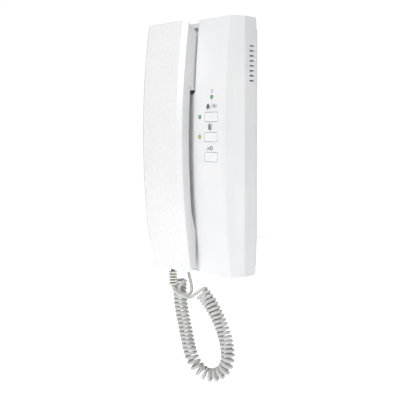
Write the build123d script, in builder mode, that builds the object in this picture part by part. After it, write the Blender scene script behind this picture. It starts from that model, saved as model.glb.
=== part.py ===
"""Wall mounted audio intercom with a corded handset.

Frame in millimetres: X to the right, Y into the wall, Z up. The wall is Y = 0 and Z = 0 is the
middle of the housing's height. A depth is a distance out from the wall, so Y is minus the depth.
"""
import math
import os

from build123d import *

os.makedirs("parts", exist_ok=True)

# Housing, the moulded front cover
housing_width = 96.0
housing_height = 220.0
shoulder_setback = 11.75
bow = 7.12
face_inset = 5.1
crease_inset = 2.6
crease_setback = 5.15
crease_bow = 5.9
cover_wall = 2.2
end_wall = 3.6
rear_corner_radius = 3.0
front_edge_radius = 0.8
section_shares = (-1, -0.5, 0, 0.5, 1)
overrun = 5.0
fit_gap = 0.25
seat_gap = 0.3
slip_gap = 0.1
tolerance = 0.05

# Wall plate and rear cover
wall_plate_thickness = 2.7
wall_plate_side_inset = 1.5
wall_plate_top_inset = 8.3
wall_plate_bottom_inset = 5.8
wall_plate_rim = 4.0
wall_plate_dish = 1.0
plate_corner_radius = 3.0
wall_screw_spacing = 83.5
wall_screw_hole_radius = 2.1
wall_screw_pad_radius = 8.0
wall_screw_head_radius = 5.5
cable_window_width = 34.0
cable_window_height = 24.0
rear_cover_thickness = 2.0
hook_tab_width = 9.0
hook_tab_thickness = 2.0
hook_tab_lip = 1.6
hook_tab_lip_thickness = 1.2
hook_tab_x = 12.0
hook_tab_end_inset = 18.0
hook_tab_gap = 0.3

# Cover screws and the bosses that take them
cover_screw_radius = 1.5
cover_screw_head_radius = 2.8
cover_screw_head_height = 1.2
cover_screw_length = 10.0
cover_boss_radius = 3.4
cover_boss_inset = 7.5
cover_boss_end_inset = 12.0
side_boss_drop = 28.9
pilot_gap = 0.05

# Recess for the ear end of the handset, with the lip that the handset hangs on
recess_height = 63.1
recess_clearance = 0.4
recess_corner_radius = 4.0
recess_top_wall = 4.0
recess_side_wall = 1.8
recess_floor_depth = 10.0
lip_width = 18.0
lip_shoulder = 3.0
lip_offset = 5.25
lip_setback = 6.95
lip_thickness = 4.0
lip_engagement = 2.0
lip_notch_slope = 1.6

# Vents in the right side wall
vent_count = 8
vent_pitch = 4.1
vent_height = 1.2
vent_near_depth = 5.9
vent_far_depth = 11.1
vent_top_inset = 23.8
vent_groove = 0.35

# Push buttons, each over its own switch on the board
button_width = 15.2
button_height = 7.8
button_corner_radius = 0.8
button_inset = 21.45
button_drop = 19.3
button_pitch = 16.9
button_count = 3
button_gap = 0.3
button_proud = 0.2
button_flange = 1.0
button_flange_thickness = 1.0
button_stem_radius = 2.0
button_travel = 0.8
button_edge = 0.3

# Lamps
lamp_radius = 1.75
lamp_proud = 0.5
lamp_dome_share = 0.6
lamp_spacer_radius = 2.25
lamp_spacer_height = 6.0
lamp_top_inset = 21.4
lamp_top_rise = 16.6
lamp_left_inset = 35.25
lamp_idle_pitch = 4.85
lamp_idle_radius = 1.4

# Circuit board and what stands on it
board_setback = 8.95
board_thickness = 1.6
board_left_inset = 13.0
board_right_inset = 6.0
board_bottom_inset = 44.0
board_top_inset = 54.0
board_notch_gap = 2.4
board_hole_inset = 4.0
standoff_radius = 3.0
board_screw_radius = 1.3
board_screw_head_radius = 2.5
board_screw_head_height = 1.6
board_screw_length = 8.0
board_screw_sides = 8
switch_size = 6.0
switch_height = 4.0
switch_well = 3.0
plunger_radius = 1.6
plunger_proud = 1.2
terminal_width = 20.0
terminal_height = 9.0
terminal_depth = 8.5
terminal_count = 4
terminal_inset = 20.0
terminal_screw_radius = 1.6
terminal_screw_height = 1.2
terminal_entry_width = 3.4
terminal_entry_share = 0.4
chip_width = 16.0
chip_height = 9.0
chip_thickness = 3.0
chip_inset = 31.0
chip_rise = 60.0
capacitor_radius = 4.0
capacitor_height = 9.0
capacitor_pitch = 12.0
capacitor_inset = 15.0
capacitor_rise = 28.0

# Call speaker behind the vents
speaker_side_gap = 3.65
speaker_magnet_share = 0.6
speaker_magnet_height = 4.0
speaker_basket_height = 5.0
speaker_rim = 1.5
speaker_cone_depth = 3.0
speaker_cone_taper = 30
speaker_end_inset = 32.0
speaker_ring_wall = 1.6
speaker_ring_height = 3.0

# Hook switch and its plunger, which stands up through the ledge of the recess
hook_offset = 10.75
hook_plunger_radius = 2.0
hook_plunger_setback = 3.4
hook_collar_radius = 3.0
hook_collar_height = 1.0
hook_travel = 3.0
hook_switch_width = 7.0
hook_switch_height = 12.0
hook_switch_depth = 6.4

# Handset
handset_side_inset = 1.6
handset_width = 52.3
handset_top_inset = 0.5
handset_bottom_inset = 1.4
handset_depth = 53.1
handset_bow = 9.5
handset_wall = 2.0
bevel_width = 4.2
bevel_depth = 2.9
end_edge_radius = 0.7
handle_thickness = 11.6
finger_gap = 5.43
parting_rise = 1.3
parting_bow = 7.3
parting_gap = 0.15
ear_parting_step = 4.0
ear_parting_rise = 4.0
rear_shell_inset = 0.7
ear_cap_gap = 3.0
ear_shoulder_setback = 23.15
ear_shoulder_inset = 12.5
ear_underside_gap = 3.6
ear_corner_radius = 3.0
mouth_cap_height = 1.9
mouth_bottom_setback = 4.2
mouth_bottom_rise = 1.7
mouth_corner_rise = 5.2
mouth_top_inset = 38.0
handle_bottom_inset = 54.0
tongue_thickness = 1.6
tongue_gap = 0.2
ear_cap_radius = 16.0
ear_cap_height = 3.0
ear_cap_edge = 1.0
ear_inset = 41.7
ear_hole_radius = 1.2
ear_hole_ring = 6.5
ear_hole_count = 6
earpiece_radius = 14.5
earpiece_height = 9.0
earpiece_magnet_share = 0.6
mouth_cap_radius = 9.0
mouth_inset = 22.0
mouth_slot_length = 8.0
mouth_slot_width = 1.2
mouth_slot_pitch = 3.0
mouth_slot_count = 3
microphone_radius = 4.8
microphone_height = 5.0
microphone_boot_wall = 1.4
weight_width = 16.0
weight_end_gap = 8.0
weight_thickness = 4.5
handset_screw_radius = 1.25
handset_screw_head_radius = 2.4
handset_screw_head_height = 1.2
handset_screw_length = 7.0
handset_screw_drop = 8.5
handset_screw_rise = 14.0
handset_boss_radius = 3.2

# Strain relief under the handset and grommet under the housing
relief_setback = 0.5
relief_core_radius = 2.0
relief_rib_radius = 4.2
relief_rib_thickness = 1.2
relief_rib_pitch = 2.65
relief_rib_count = 5
relief_length = 15.8
relief_tip = 0.9
relief_flange_radius = 3.2
relief_flange_thickness = 1.4
grommet_neck_radius = 3.2
grommet_flange_radius = 4.6
grommet_flange_height = 1.2

# Curly cord: the loop hangs in an upright plane that turns away from the wall plate
wire_diameter = 3.1
wire_sides = 5
coil_outer_diameter = 13.0
coil_turns = 46
coil_open_pitch = 3.88
coil_bend_pitch = 5.55
coil_close_pitch = 3.85
coil_bend_start_share = 0.288
coil_bend_end_share = 0.572
coil_blend_share = 0.1
coil_flare = 0.67
coil_flare_turns = 10
coil_start_angle = 295
coil_end_angle = 180
coil_samples = 1600
coil_step_share = 0.25
gap_dots_per_turn = 12
loop_origin_x = -23.0
loop_origin_y = -28.0
loop_plan_angle = 17.95
coil_route = [
    (21.7, -130.8),
    (34.9, -146.1),
    (43.3, -162.7),
    (48.8, -185.8),
    (45.7, -199.5),
    (29.8, -208.6),
    (16.7, -202.0),
    (7.4, -178.3),
    (1.2, -148.4),
    (0.1, -122.2),
]
tail_radius_share = 0.45
handset_tail_run = 4.5
base_tail_run = 4.4
handset_tail_route = [
    (-20.25, -39.3, -127.6),
    (-16.2, -38.9, -131.2),
    (-9.7, -36.3, -133.9),
    (-5.5, -32.5, -135.2),
]
base_tail_route = [
    (-16.7, -35.5, -125.9),
    (-17.1, -34.6, -130.1),
    (-15.6, -32.3, -133.1),
    (-13.2, -28.6, -134.8),
    (-12.9, -23.9, -134.0),
    (-14.8, -20.7, -129.7),
    (-18.2, -19.4, -122.4),
    (-20.25, -20.0, -115.5),
]

half_width = housing_width / 2
half_height = housing_height / 2
rear_cover_front = wall_plate_thickness + rear_cover_thickness

# The handle stands a finger's gap off the face, so its depth gives the housing's
handle_rear_depth = handset_depth - handle_thickness
parting_depth = handle_rear_depth + parting_rise
end_depth = handle_rear_depth - finger_gap - bow
crease_end_depth = end_depth - crease_setback
shoulder_depth = end_depth - shoulder_setback
board_depth = end_depth - board_setback
board_front = board_depth + board_thickness
grommet_depth = board_depth

# Handset and recess
handset_x = -half_width + handset_side_inset + handset_width / 2
handset_top = half_height - handset_top_inset
handset_bottom = half_height - handset_bottom_inset
ledge_z = half_height - recess_height
recess_right = handset_x + handset_width / 2 + recess_clearance
recess_left = -half_width + recess_side_wall
ear_underside_z = ledge_z + ear_underside_gap
ear_rear_depth = recess_floor_depth + ear_cap_gap + ear_cap_height
ear_shoulder_depth = handset_depth - ear_shoulder_setback
ear_shoulder_z = half_height - ear_shoulder_inset
ear_z = half_height - ear_inset
mouth_z = -half_height + mouth_inset
mouth_top_z = -half_height + mouth_top_inset
handle_bottom_z = -half_height + handle_bottom_inset
lip_x = handset_x + lip_offset
lip_rear_depth = end_depth - lip_setback
lower_screw_z = handle_bottom_z + handset_screw_rise
upper_screw_z = ear_underside_z - handset_screw_drop

# Places in the housing, from its sides, its ends and the ledge
cover_boss_x = half_width - cover_boss_inset
cover_boss_z = half_height - cover_boss_end_inset
side_boss_z = ledge_z - side_boss_drop
hook_tab_z = half_height - hook_tab_end_inset
vent_top_z = half_height - vent_top_inset
button_x = half_width - button_inset
button_top_z = ledge_z - button_drop
lamp_top_x = half_width - lamp_top_inset
lamp_top_z = button_top_z + lamp_top_rise
lamp_left_x = half_width - lamp_left_inset
lamp_lower_z = button_top_z - button_pitch
board_left = -half_width + board_left_inset
board_right = half_width - board_right_inset
board_bottom = -half_height + board_bottom_inset
board_top = half_height - board_top_inset
board_notch_x = recess_right + cover_wall + board_notch_gap
board_notch_z = ledge_z - cover_wall - board_notch_gap
terminal_x = board_right - terminal_inset
chip_x = board_left + chip_inset
chip_z = board_bottom + chip_rise
capacitor_x = board_left + capacitor_inset
capacitor_z = board_bottom + capacitor_rise
side_room_left = recess_right + cover_wall
side_room_right = half_width - cover_wall
speaker_x = (side_room_left + side_room_right) / 2
speaker_z = half_height - speaker_end_inset
speaker_radius = (side_room_right - side_room_left) / 2 - speaker_side_gap
speaker_magnet_radius = speaker_radius * speaker_magnet_share
hook_switch_x = handset_x - hook_offset
hook_plunger_depth = board_front + hook_plunger_setback

# Cord
wire_radius = wire_diameter / 2
coil_radius = (coil_outer_diameter - wire_diameter) / 2
relief_end_z = -handset_bottom - relief_length
grommet_end_z = -half_height - grommet_flange_height


def at_depth(depth):
    """Plane parallel to the wall: local x is X, local y is Z, extrusion runs away from the wall."""
    return Plane.XZ.offset(depth)


def side_plane(x):
    """Plane of a side profile: local x is Y, local y is Z, extrusion runs towards +X."""
    return Plane.YZ.offset(x)


def face_depth(z):
    """Depth of the housing's bowed front face at height z."""
    return end_depth + bow * (1 - (z / half_height) ** 2)


def crease_depth(z):
    """Depth of the crease between the two bevels beside the face."""
    return crease_end_depth + crease_bow * (1 - (z / half_height) ** 2)


def parting(z):
    """Depth of the line where the handset's two shells meet, along the handle."""
    return parting_depth - parting_bow * (z / half_height) ** 2


def handset_face(z):
    """Depth of the handset's bowed front face."""
    return handset_depth - handset_bow * (z / half_height) ** 2


def handle_rear(z):
    """Depth of the handle's rear, which follows the front face."""
    return handle_rear_depth - handset_bow * (z / half_height) ** 2


def housing_form(inset, top, rear_depth):
    """Loft of the housing's sections, drawn in by inset, from -top to top."""
    with BuildPart() as form:
        for share in section_shares:
            z = share * top
            side = half_width - inset
            shoulder = (side, -shoulder_depth + inset / 2)
            crease = (half_width - crease_inset - inset, -crease_depth(z) + inset / 2)
            corner = (half_width - face_inset - inset / 2, -face_depth(z) + inset)
            right = [(side, -rear_depth), shoulder, crease, corner]
            left = [(-x, y) for x, y in reversed(right)]
            with BuildSketch(Plane.XY.offset(z)):
                with BuildLine():
                    Polyline(*right, *left, close=True)
                make_face()
        loft()
    return form.part


def recess_sketch(left, right, bottom, top, radius):
    """Outline of the ear recess, with its one rounded corner."""
    with BuildSketch() as outline:
        with BuildLine():
            Polyline((right, bottom + radius), (right, top), (left, top), (left, bottom))
            Line((left, bottom), (right - radius, bottom))
            Line((right - radius, bottom), (right, bottom))
            Line((right, bottom), (right, bottom + radius))
        make_face()
        corner = outline.vertices().sort_by_distance((right, bottom))[0]
        fillet(corner, radius)
    return outline.sketch


def cover_boss_places():
    """The four cover screws: three near the corners, one below the recess."""
    return (
        (cover_boss_x, cover_boss_z),
        (cover_boss_x, -cover_boss_z),
        (-cover_boss_x, -cover_boss_z),
        (-cover_boss_x, side_boss_z),
    )


def button_heights():
    """Heights of the button centres, from the top."""
    return [button_top_z - button_pitch * i for i in range(button_count)]


def lamp_places():
    """Name, radius and place of each lamp in the front face."""
    return (
        ("lamp_top", lamp_radius, lamp_top_x, lamp_top_z),
        ("lamp_left", lamp_radius, lamp_left_x, button_top_z),
        ("lamp_lower", lamp_radius, lamp_left_x, lamp_lower_z),
        ("lamp_idle", lamp_idle_radius, lamp_top_x, lamp_top_z + lamp_idle_pitch),
    )


def board_screw_places():
    """The four board screws, which follow the board's corners and its notch."""
    left = board_left + board_hole_inset
    right = board_right - board_hole_inset
    return (
        (left, board_bottom + board_hole_inset),
        (right, board_bottom + board_hole_inset),
        (right, board_top - board_hole_inset),
        (0, board_notch_z - board_hole_inset),
    )


def save(piece, name):
    """Label a piece and write its STEP file."""
    piece.label = name
    export_step(piece, f"parts/{name}.step")


# Front cover: outer form, less the recess, less an inner form that leaves walls round the recess
with BuildPart() as cover_cavity:
    add(housing_form(cover_wall, half_height - end_wall, 0))
    with BuildSketch(at_depth(recess_floor_depth - cover_wall)):
        add(
            recess_sketch(
                -half_width - overrun,
                recess_right + cover_wall,
                ledge_z - cover_wall,
                half_height + overrun,
                recess_corner_radius + cover_wall,
            )
        )
    extrude(amount=handset_depth, mode=Mode.SUBTRACT)
    with BuildSketch(at_depth(rear_cover_front)):
        with Locations(*cover_boss_places()):
            Circle(cover_boss_radius)
    extrude(amount=handset_depth, mode=Mode.SUBTRACT)

with BuildPart() as front_cover:
    add(housing_form(0, half_height, wall_plate_thickness))
    end_edges = front_cover.edges().filter_by(lambda e: abs(e.center().Z) > half_height - tolerance)
    fillet(end_edges.filter_by(lambda e: e.center().Y < -shoulder_depth), front_edge_radius)
    rear_edges = front_cover.edges().filter_by(
        lambda e: abs(e.center().Z) > half_height - tolerance
        and e.center().Y > -wall_plate_thickness - tolerance
    )
    fillet(rear_edges, rear_corner_radius)
    with BuildSketch(at_depth(shoulder_depth)):
        add(
            recess_sketch(
                -half_width - overrun,
                recess_right,
                ledge_z,
                half_height + overrun,
                recess_corner_radius,
            )
        )
    extrude(amount=handset_depth, mode=Mode.SUBTRACT)
    with BuildSketch(at_depth(recess_floor_depth)):
        add(
            recess_sketch(
                recess_left,
                recess_right,
                ledge_z,
                half_height - recess_top_wall,
                recess_corner_radius,
            )
        )
    extrude(amount=shoulder_depth, mode=Mode.SUBTRACT)
    add(cover_cavity.part, mode=Mode.SUBTRACT)
    # Lip: two shoulders that carry the handset and a tongue that holds it back
    with BuildSketch(at_depth(lip_rear_depth)):
        with Locations((lip_x, ledge_z - cover_wall)):
            Rectangle(
                lip_width + 2 * lip_shoulder,
                cover_wall + ear_underside_gap - seat_gap,
                align=(Align.CENTER, Align.MIN),
            )
            Rectangle(
                lip_width,
                cover_wall + ear_underside_gap + lip_engagement,
                align=(Align.CENTER, Align.MIN),
            )
    extrude(amount=lip_thickness)
    # Hole in the ledge for the hook plunger
    with BuildSketch(Plane.XY.offset(ledge_z - cover_wall - overrun)):
        with Locations((hook_switch_x, -hook_plunger_depth)):
            Circle(hook_plunger_radius + fit_gap)
    extrude(amount=cover_wall + 2 * overrun, mode=Mode.SUBTRACT)
    # Button windows and lamp holes
    with BuildSketch(at_depth(board_front)):
        with Locations(*[(button_x, z) for z in button_heights()]):
            RectangleRounded(
                button_width + 2 * button_gap,
                button_height + 2 * button_gap,
                button_corner_radius + button_gap,
            )
    extrude(amount=handset_depth, mode=Mode.SUBTRACT)
    for lamp_name, radius, x, z in lamp_places():
        with BuildSketch(at_depth(board_front)):
            with Locations((x, z)):
                Circle(radius + slip_gap)
        extrude(amount=handset_depth, mode=Mode.SUBTRACT)
    # Vents, each with a shallow groove that runs on to the rear edge
    vent_heights = [vent_top_z - vent_pitch * i for i in range(vent_count)]
    with BuildSketch(side_plane(half_width - cover_wall - overrun)):
        with Locations(*[(-vent_near_depth, z) for z in vent_heights]):
            Rectangle(vent_far_depth - vent_near_depth, vent_height, align=(Align.MAX, Align.CENTER))
    extrude(amount=cover_wall + 2 * overrun, mode=Mode.SUBTRACT)
    with BuildSketch(side_plane(half_width - vent_groove)):
        with Locations(*[(-vent_near_depth, z) for z in vent_heights]):
            Rectangle(vent_near_depth, vent_height, align=(Align.MIN, Align.CENTER))
    extrude(amount=overrun, mode=Mode.SUBTRACT)
    # Pilot holes for the cover screws
    with BuildSketch(at_depth(rear_cover_front)):
        with Locations(*cover_boss_places()):
            Circle(cover_screw_radius + pilot_gap)
    extrude(amount=cover_screw_length, mode=Mode.SUBTRACT)
    # Hole for the cord grommet
    with BuildSketch(Plane.XY.offset(-half_height - overrun)):
        with Locations((handset_x, -grommet_depth)):
            Circle(grommet_neck_radius + slip_gap)
    extrude(amount=end_wall + 2 * overrun, mode=Mode.SUBTRACT)
save(front_cover.part, "front_cover")

# Rear cover, with standoffs for the board and a ring for the speaker
with BuildPart() as rear_cover:
    with BuildSketch(at_depth(wall_plate_thickness)):
        RectangleRounded(
            housing_width - 2 * (cover_wall + fit_gap),
            housing_height - 2 * (end_wall + fit_gap),
            plate_corner_radius,
        )
    extrude(amount=rear_cover_thickness)
    with BuildSketch(at_depth(rear_cover_front)):
        with Locations(*board_screw_places()):
            Circle(standoff_radius)
    extrude(amount=board_depth - rear_cover_front)
    with BuildSketch(at_depth(rear_cover_front)):
        with Locations((speaker_x, speaker_z)):
            Circle(speaker_magnet_radius + fit_gap + speaker_ring_wall)
            Circle(speaker_magnet_radius + fit_gap, mode=Mode.SUBTRACT)
    extrude(amount=speaker_ring_height)
    with BuildSketch(at_depth(board_depth)):
        with Locations(*board_screw_places()):
            Circle(board_screw_radius + pilot_gap)
    extrude(amount=-board_screw_length, mode=Mode.SUBTRACT)
    with BuildSketch(at_depth(wall_plate_thickness)):
        Rectangle(cable_window_width, cable_window_height)
        with Locations((0, wall_screw_spacing / 2), (0, -wall_screw_spacing / 2)):
            Circle(wall_screw_head_radius)
        with Locations(*cover_boss_places()):
            Circle(cover_screw_radius + fit_gap)
        for x in (-hook_tab_x, hook_tab_x):
            for z in (-hook_tab_z, hook_tab_z):
                with Locations((x, z + hook_tab_thickness / 2 + hook_tab_gap)):
                    Rectangle(
                        hook_tab_width + 2 * hook_tab_gap,
                        2 * hook_tab_thickness + hook_tab_lip,
                        align=(Align.CENTER, Align.MAX),
                    )
    extrude(amount=rear_cover_thickness, mode=Mode.SUBTRACT)
    with BuildSketch(at_depth(wall_plate_thickness)):
        with Locations(*cover_boss_places()):
            Circle(cover_screw_head_radius + fit_gap)
    extrude(amount=cover_screw_head_height, mode=Mode.SUBTRACT)
save(rear_cover.part, "rear_cover")

# Wall plate, screwed to the wall, with four tabs that the rear cover drops over
wall_plate_top = half_height - wall_plate_top_inset
wall_plate_bottom = -half_height + wall_plate_bottom_inset
with BuildPart() as wall_plate:
    with BuildSketch(at_depth(0)):
        with Locations((0, (wall_plate_top + wall_plate_bottom) / 2)):
            RectangleRounded(
                housing_width - 2 * wall_plate_side_inset,
                wall_plate_top - wall_plate_bottom,
                plate_corner_radius,
            )
        Rectangle(cable_window_width, cable_window_height, mode=Mode.SUBTRACT)
        with Locations((0, wall_screw_spacing / 2), (0, -wall_screw_spacing / 2)):
            Circle(wall_screw_hole_radius, mode=Mode.SUBTRACT)
    extrude(amount=wall_plate_thickness)
    with BuildSketch(at_depth(wall_plate_thickness - wall_plate_dish)):
        with Locations((0, (wall_plate_top + wall_plate_bottom) / 2)):
            RectangleRounded(
                housing_width - 2 * (wall_plate_side_inset + wall_plate_rim),
                wall_plate_top - wall_plate_bottom - 2 * wall_plate_rim,
                plate_corner_radius,
            )
        Rectangle(
            cable_window_width + 2 * wall_plate_rim,
            cable_window_height + 2 * wall_plate_rim,
            mode=Mode.SUBTRACT,
        )
        with Locations((0, wall_screw_spacing / 2), (0, -wall_screw_spacing / 2)):
            Circle(wall_screw_pad_radius, mode=Mode.SUBTRACT)
    extrude(amount=wall_plate_dish, mode=Mode.SUBTRACT)
    tab_reach = rear_cover_front + seat_gap + hook_tab_lip_thickness - wall_plate_thickness
    tab_places = [(x, z) for x in (-hook_tab_x, hook_tab_x) for z in (-hook_tab_z, hook_tab_z)]
    with BuildSketch(at_depth(wall_plate_thickness - wall_plate_dish)):
        with Locations(*tab_places):
            Rectangle(hook_tab_width, hook_tab_thickness)
    extrude(amount=tab_reach + wall_plate_dish)
    with BuildSketch(at_depth(rear_cover_front + seat_gap)):
        with Locations(*[(x, z + hook_tab_thickness / 2) for x, z in tab_places]):
            Rectangle(hook_tab_width, hook_tab_lip, align=(Align.CENTER, Align.MIN))
    extrude(amount=hook_tab_lip_thickness)
save(wall_plate.part, "wall_plate")

# Circuit board, notched round the recess
with BuildPart() as circuit_board:
    with BuildSketch(at_depth(board_depth)):
        with BuildLine():
            Polyline(
                (board_left, board_bottom),
                (board_right, board_bottom),
                (board_right, board_top),
                (board_notch_x, board_top),
                (board_notch_x, board_notch_z),
                (board_left, board_notch_z),
                close=True,
            )
        make_face()
        with Locations(*board_screw_places()):
            Circle(board_screw_radius + fit_gap, mode=Mode.SUBTRACT)
    extrude(amount=board_thickness)
save(circuit_board.part, "circuit_board")

# Switches under the buttons, each with a well for its plunger
with BuildPart() as button_switches:
    with BuildSketch(at_depth(board_front)):
        with Locations(*[(button_x, z) for z in button_heights()]):
            Rectangle(switch_size, switch_size)
    extrude(amount=switch_height)
    with BuildSketch(at_depth(board_front + switch_height)):
        with Locations(*[(button_x, z) for z in button_heights()]):
            Circle(plunger_radius + pilot_gap)
    extrude(amount=-switch_well, mode=Mode.SUBTRACT)
save(button_switches.part, "button_switches")

# Buttons with their stems, and the switch plungers that they press
plunger_end_depth = board_front + switch_height + plunger_proud
for index, z in enumerate(button_heights()):
    cap_depth = face_depth(z) + button_proud
    shallow_z = abs(z) + button_height / 2 + button_flange
    flange_depth = face_depth(shallow_z) - cover_wall - fit_gap
    with BuildPart() as button:
        with BuildSketch(at_depth(flange_depth)):
            with Locations((button_x, z)):
                RectangleRounded(button_width, button_height, button_corner_radius)
        extrude(amount=cap_depth - flange_depth)
        chamfer(button.faces().sort_by(Axis.Y)[0].edges(), button_edge)
        with BuildSketch(at_depth(flange_depth)):
            with Locations((button_x, z)):
                Rectangle(button_width + 2 * button_flange, button_height + 2 * button_flange)
        extrude(amount=-button_flange_thickness)
        with BuildSketch(at_depth(plunger_end_depth)):
            with Locations((button_x, z)):
                Circle(button_stem_radius)
        extrude(amount=flange_depth - plunger_end_depth)
    save(button.part, f"button_{index + 1}")
    with BuildPart() as plunger:
        with BuildSketch(at_depth(plunger_end_depth)):
            with Locations((button_x, z)):
                Circle(plunger_radius)
        extrude(amount=button_travel + seat_gap - switch_well - plunger_proud)
    save(plunger.part, f"switch_plunger_{index + 1}")

# Lamps: domed lenses on spacers that stand on the board
for lamp_name, radius, x, z in lamp_places():
    with BuildPart() as lamp:
        with BuildSketch(at_depth(board_front + lamp_spacer_height)):
            with Locations((x, z)):
                Circle(radius)
        extrude(amount=face_depth(z) + lamp_proud - board_front - lamp_spacer_height)
        fillet(lamp.faces().sort_by(Axis.Y)[0].edges(), radius * lamp_dome_share)
    save(lamp.part, lamp_name)
with BuildPart() as lamp_spacers:
    with BuildSketch(at_depth(board_front)):
        with Locations(*[(x, z) for lamp_name, radius, x, z in lamp_places()]):
            Circle(lamp_spacer_radius)
    extrude(amount=lamp_spacer_height)
save(lamp_spacers.part, "lamp_spacers")

# Screws of the rear cover and of the board, all with their heads seated
with BuildPart() as cover_screws:
    with BuildSketch(at_depth(wall_plate_thickness)):
        with Locations(*cover_boss_places()):
            Circle(cover_screw_head_radius)
    extrude(amount=cover_screw_head_height)
    with BuildSketch(at_depth(wall_plate_thickness)):
        with Locations(*cover_boss_places()):
            Circle(cover_screw_radius)
    extrude(amount=cover_screw_length)
save(cover_screws.part, "cover_screws")
with BuildPart() as board_screws:
    with BuildSketch(at_depth(board_front)):
        with Locations(*board_screw_places()):
            Circle(board_screw_head_radius)
    extrude(amount=board_screw_head_height)
    with BuildSketch(at_depth(board_front)):
        with Locations(*board_screw_places()):
            RegularPolygon(board_screw_radius, board_screw_sides)
    extrude(amount=-board_screw_length)
save(board_screws.part, "board_screws")

# Terminal block for the building's wires, and its screws
terminal_pitch = terminal_width / terminal_count
terminal_z = board_bottom + terminal_height / 2
terminal_places = [
    (terminal_x + terminal_pitch * (i - (terminal_count - 1) / 2), terminal_z)
    for i in range(terminal_count)
]
with BuildPart() as terminal_block:
    with BuildSketch(at_depth(board_front)):
        with Locations((terminal_x, terminal_z)):
            Rectangle(terminal_width, terminal_height)
    extrude(amount=terminal_depth)
    with BuildSketch(at_depth(board_front + terminal_depth)):
        with Locations(*terminal_places):
            Circle(terminal_screw_radius + fit_gap)
    extrude(amount=-2 * terminal_screw_height, mode=Mode.SUBTRACT)
    with BuildSketch(Plane.XY.offset(board_bottom)):
        with Locations(
            *[(x, -board_front - terminal_depth * terminal_entry_share) for x, z in terminal_places]
        ):
            Rectangle(terminal_entry_width, terminal_entry_width)
    extrude(amount=terminal_height / 2, mode=Mode.SUBTRACT)
save(terminal_block.part, "terminal_block")
with BuildPart() as terminal_screws:
    with BuildSketch(at_depth(board_front + terminal_depth - 2 * terminal_screw_height)):
        with Locations(*terminal_places):
            Circle(terminal_screw_radius)
    extrude(amount=terminal_screw_height)
save(terminal_screws.part, "terminal_screws")

# Speech circuit: one chip and two capacitors
with BuildPart() as speech_chip:
    with BuildSketch(at_depth(board_front)):
        with Locations((chip_x, chip_z)):
            Rectangle(chip_width, chip_height)
    extrude(amount=chip_thickness)
save(speech_chip.part, "speech_chip")
with BuildPart() as capacitors:
    with BuildSketch(at_depth(board_front)):
        with Locations((capacitor_x, capacitor_z), (capacitor_x + capacitor_pitch, capacitor_z)):
            Circle(capacitor_radius)
    extrude(amount=capacitor_height)
save(capacitors.part, "capacitors")

# Call speaker, its magnet seated in the ring of the rear cover
with BuildPart() as call_speaker:
    with BuildSketch(at_depth(rear_cover_front)):
        with Locations((speaker_x, speaker_z)):
            Circle(speaker_magnet_radius)
    extrude(amount=speaker_magnet_height)
    with BuildSketch(at_depth(rear_cover_front + speaker_magnet_height)):
        with Locations((speaker_x, speaker_z)):
            Circle(speaker_radius)
    extrude(amount=speaker_basket_height)
    with BuildSketch(at_depth(rear_cover_front + speaker_magnet_height + speaker_basket_height)):
        with Locations((speaker_x, speaker_z)):
            Circle(speaker_radius - speaker_rim)
    extrude(amount=-speaker_cone_depth, taper=speaker_cone_taper, mode=Mode.SUBTRACT)
save(call_speaker.part, "call_speaker")

# Hook switch on the board, and the plunger that the hung handset holds down
hook_switch_top = board_notch_z - hook_travel - fit_gap
with BuildPart() as hook_switch:
    with BuildSketch(at_depth(board_front)):
        with Locations((hook_switch_x, hook_switch_top)):
            Rectangle(hook_switch_width, hook_switch_height, align=(Align.CENTER, Align.MAX))
    extrude(amount=hook_switch_depth)
save(hook_switch.part, "hook_switch")
hook_plunger_end_z = hook_switch_top + pilot_gap
with BuildPart() as hook_plunger:
    with BuildSketch(Plane.XY.offset(hook_plunger_end_z)):
        with Locations((hook_switch_x, -hook_plunger_depth)):
            Circle(hook_plunger_radius)
    extrude(amount=ear_underside_z - seat_gap - hook_plunger_end_z)
    with BuildSketch(Plane.XY.offset(hook_plunger_end_z)):
        with Locations((hook_switch_x, -hook_plunger_depth)):
            Circle(hook_collar_radius)
    extrude(amount=hook_collar_height)
save(hook_plunger.part, "hook_plunger")

# Handset: one side outline for both shells, cut by the parting line
mouth_cap_depth = face_depth(abs(mouth_z) - mouth_cap_radius) + seat_gap
mouth_rear_depth = mouth_cap_depth + mouth_cap_height
mouth_bottom_depth = mouth_rear_depth + mouth_bottom_setback
relief_depth = mouth_bottom_depth + relief_setback
ear_slope = (ear_shoulder_z - handset_top) / (ear_shoulder_depth - handset_face(handset_top))
ear_top_z = ear_shoulder_z - ear_slope * (ear_shoulder_depth - ear_rear_depth)


def handset_outline():
    """Side outline of the whole handset: local x is Y, local y is Z."""
    with BuildSketch() as outline:
        with BuildLine():
            ThreePointArc(
                (-handset_face(handset_top), handset_top),
                (-handset_face(0), 0),
                (-handset_face(handset_bottom), -handset_bottom),
            )
            Polyline(
                (-handset_face(handset_bottom), -handset_bottom),
                (-mouth_bottom_depth, -handset_bottom + mouth_bottom_rise),
                (-mouth_rear_depth, -handset_bottom + mouth_corner_rise),
                (-mouth_rear_depth, mouth_top_z),
                (-handle_rear(handle_bottom_z), handle_bottom_z),
            )
            ThreePointArc(
                (-handle_rear(handle_bottom_z), handle_bottom_z),
                (-handle_rear(0), 0),
                (-handle_rear(ear_underside_z), ear_underside_z),
            )
            Polyline(
                (-handle_rear(ear_underside_z), ear_underside_z),
                (-ear_rear_depth, ear_underside_z),
                (-ear_rear_depth, ear_top_z),
                (-handset_face(handset_top), handset_top),
            )
        make_face()
        corners = outline.vertices().filter_by(lambda v: v.X > -ear_rear_depth - tolerance)
        fillet(corners, ear_corner_radius)
    return outline.sketch


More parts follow.
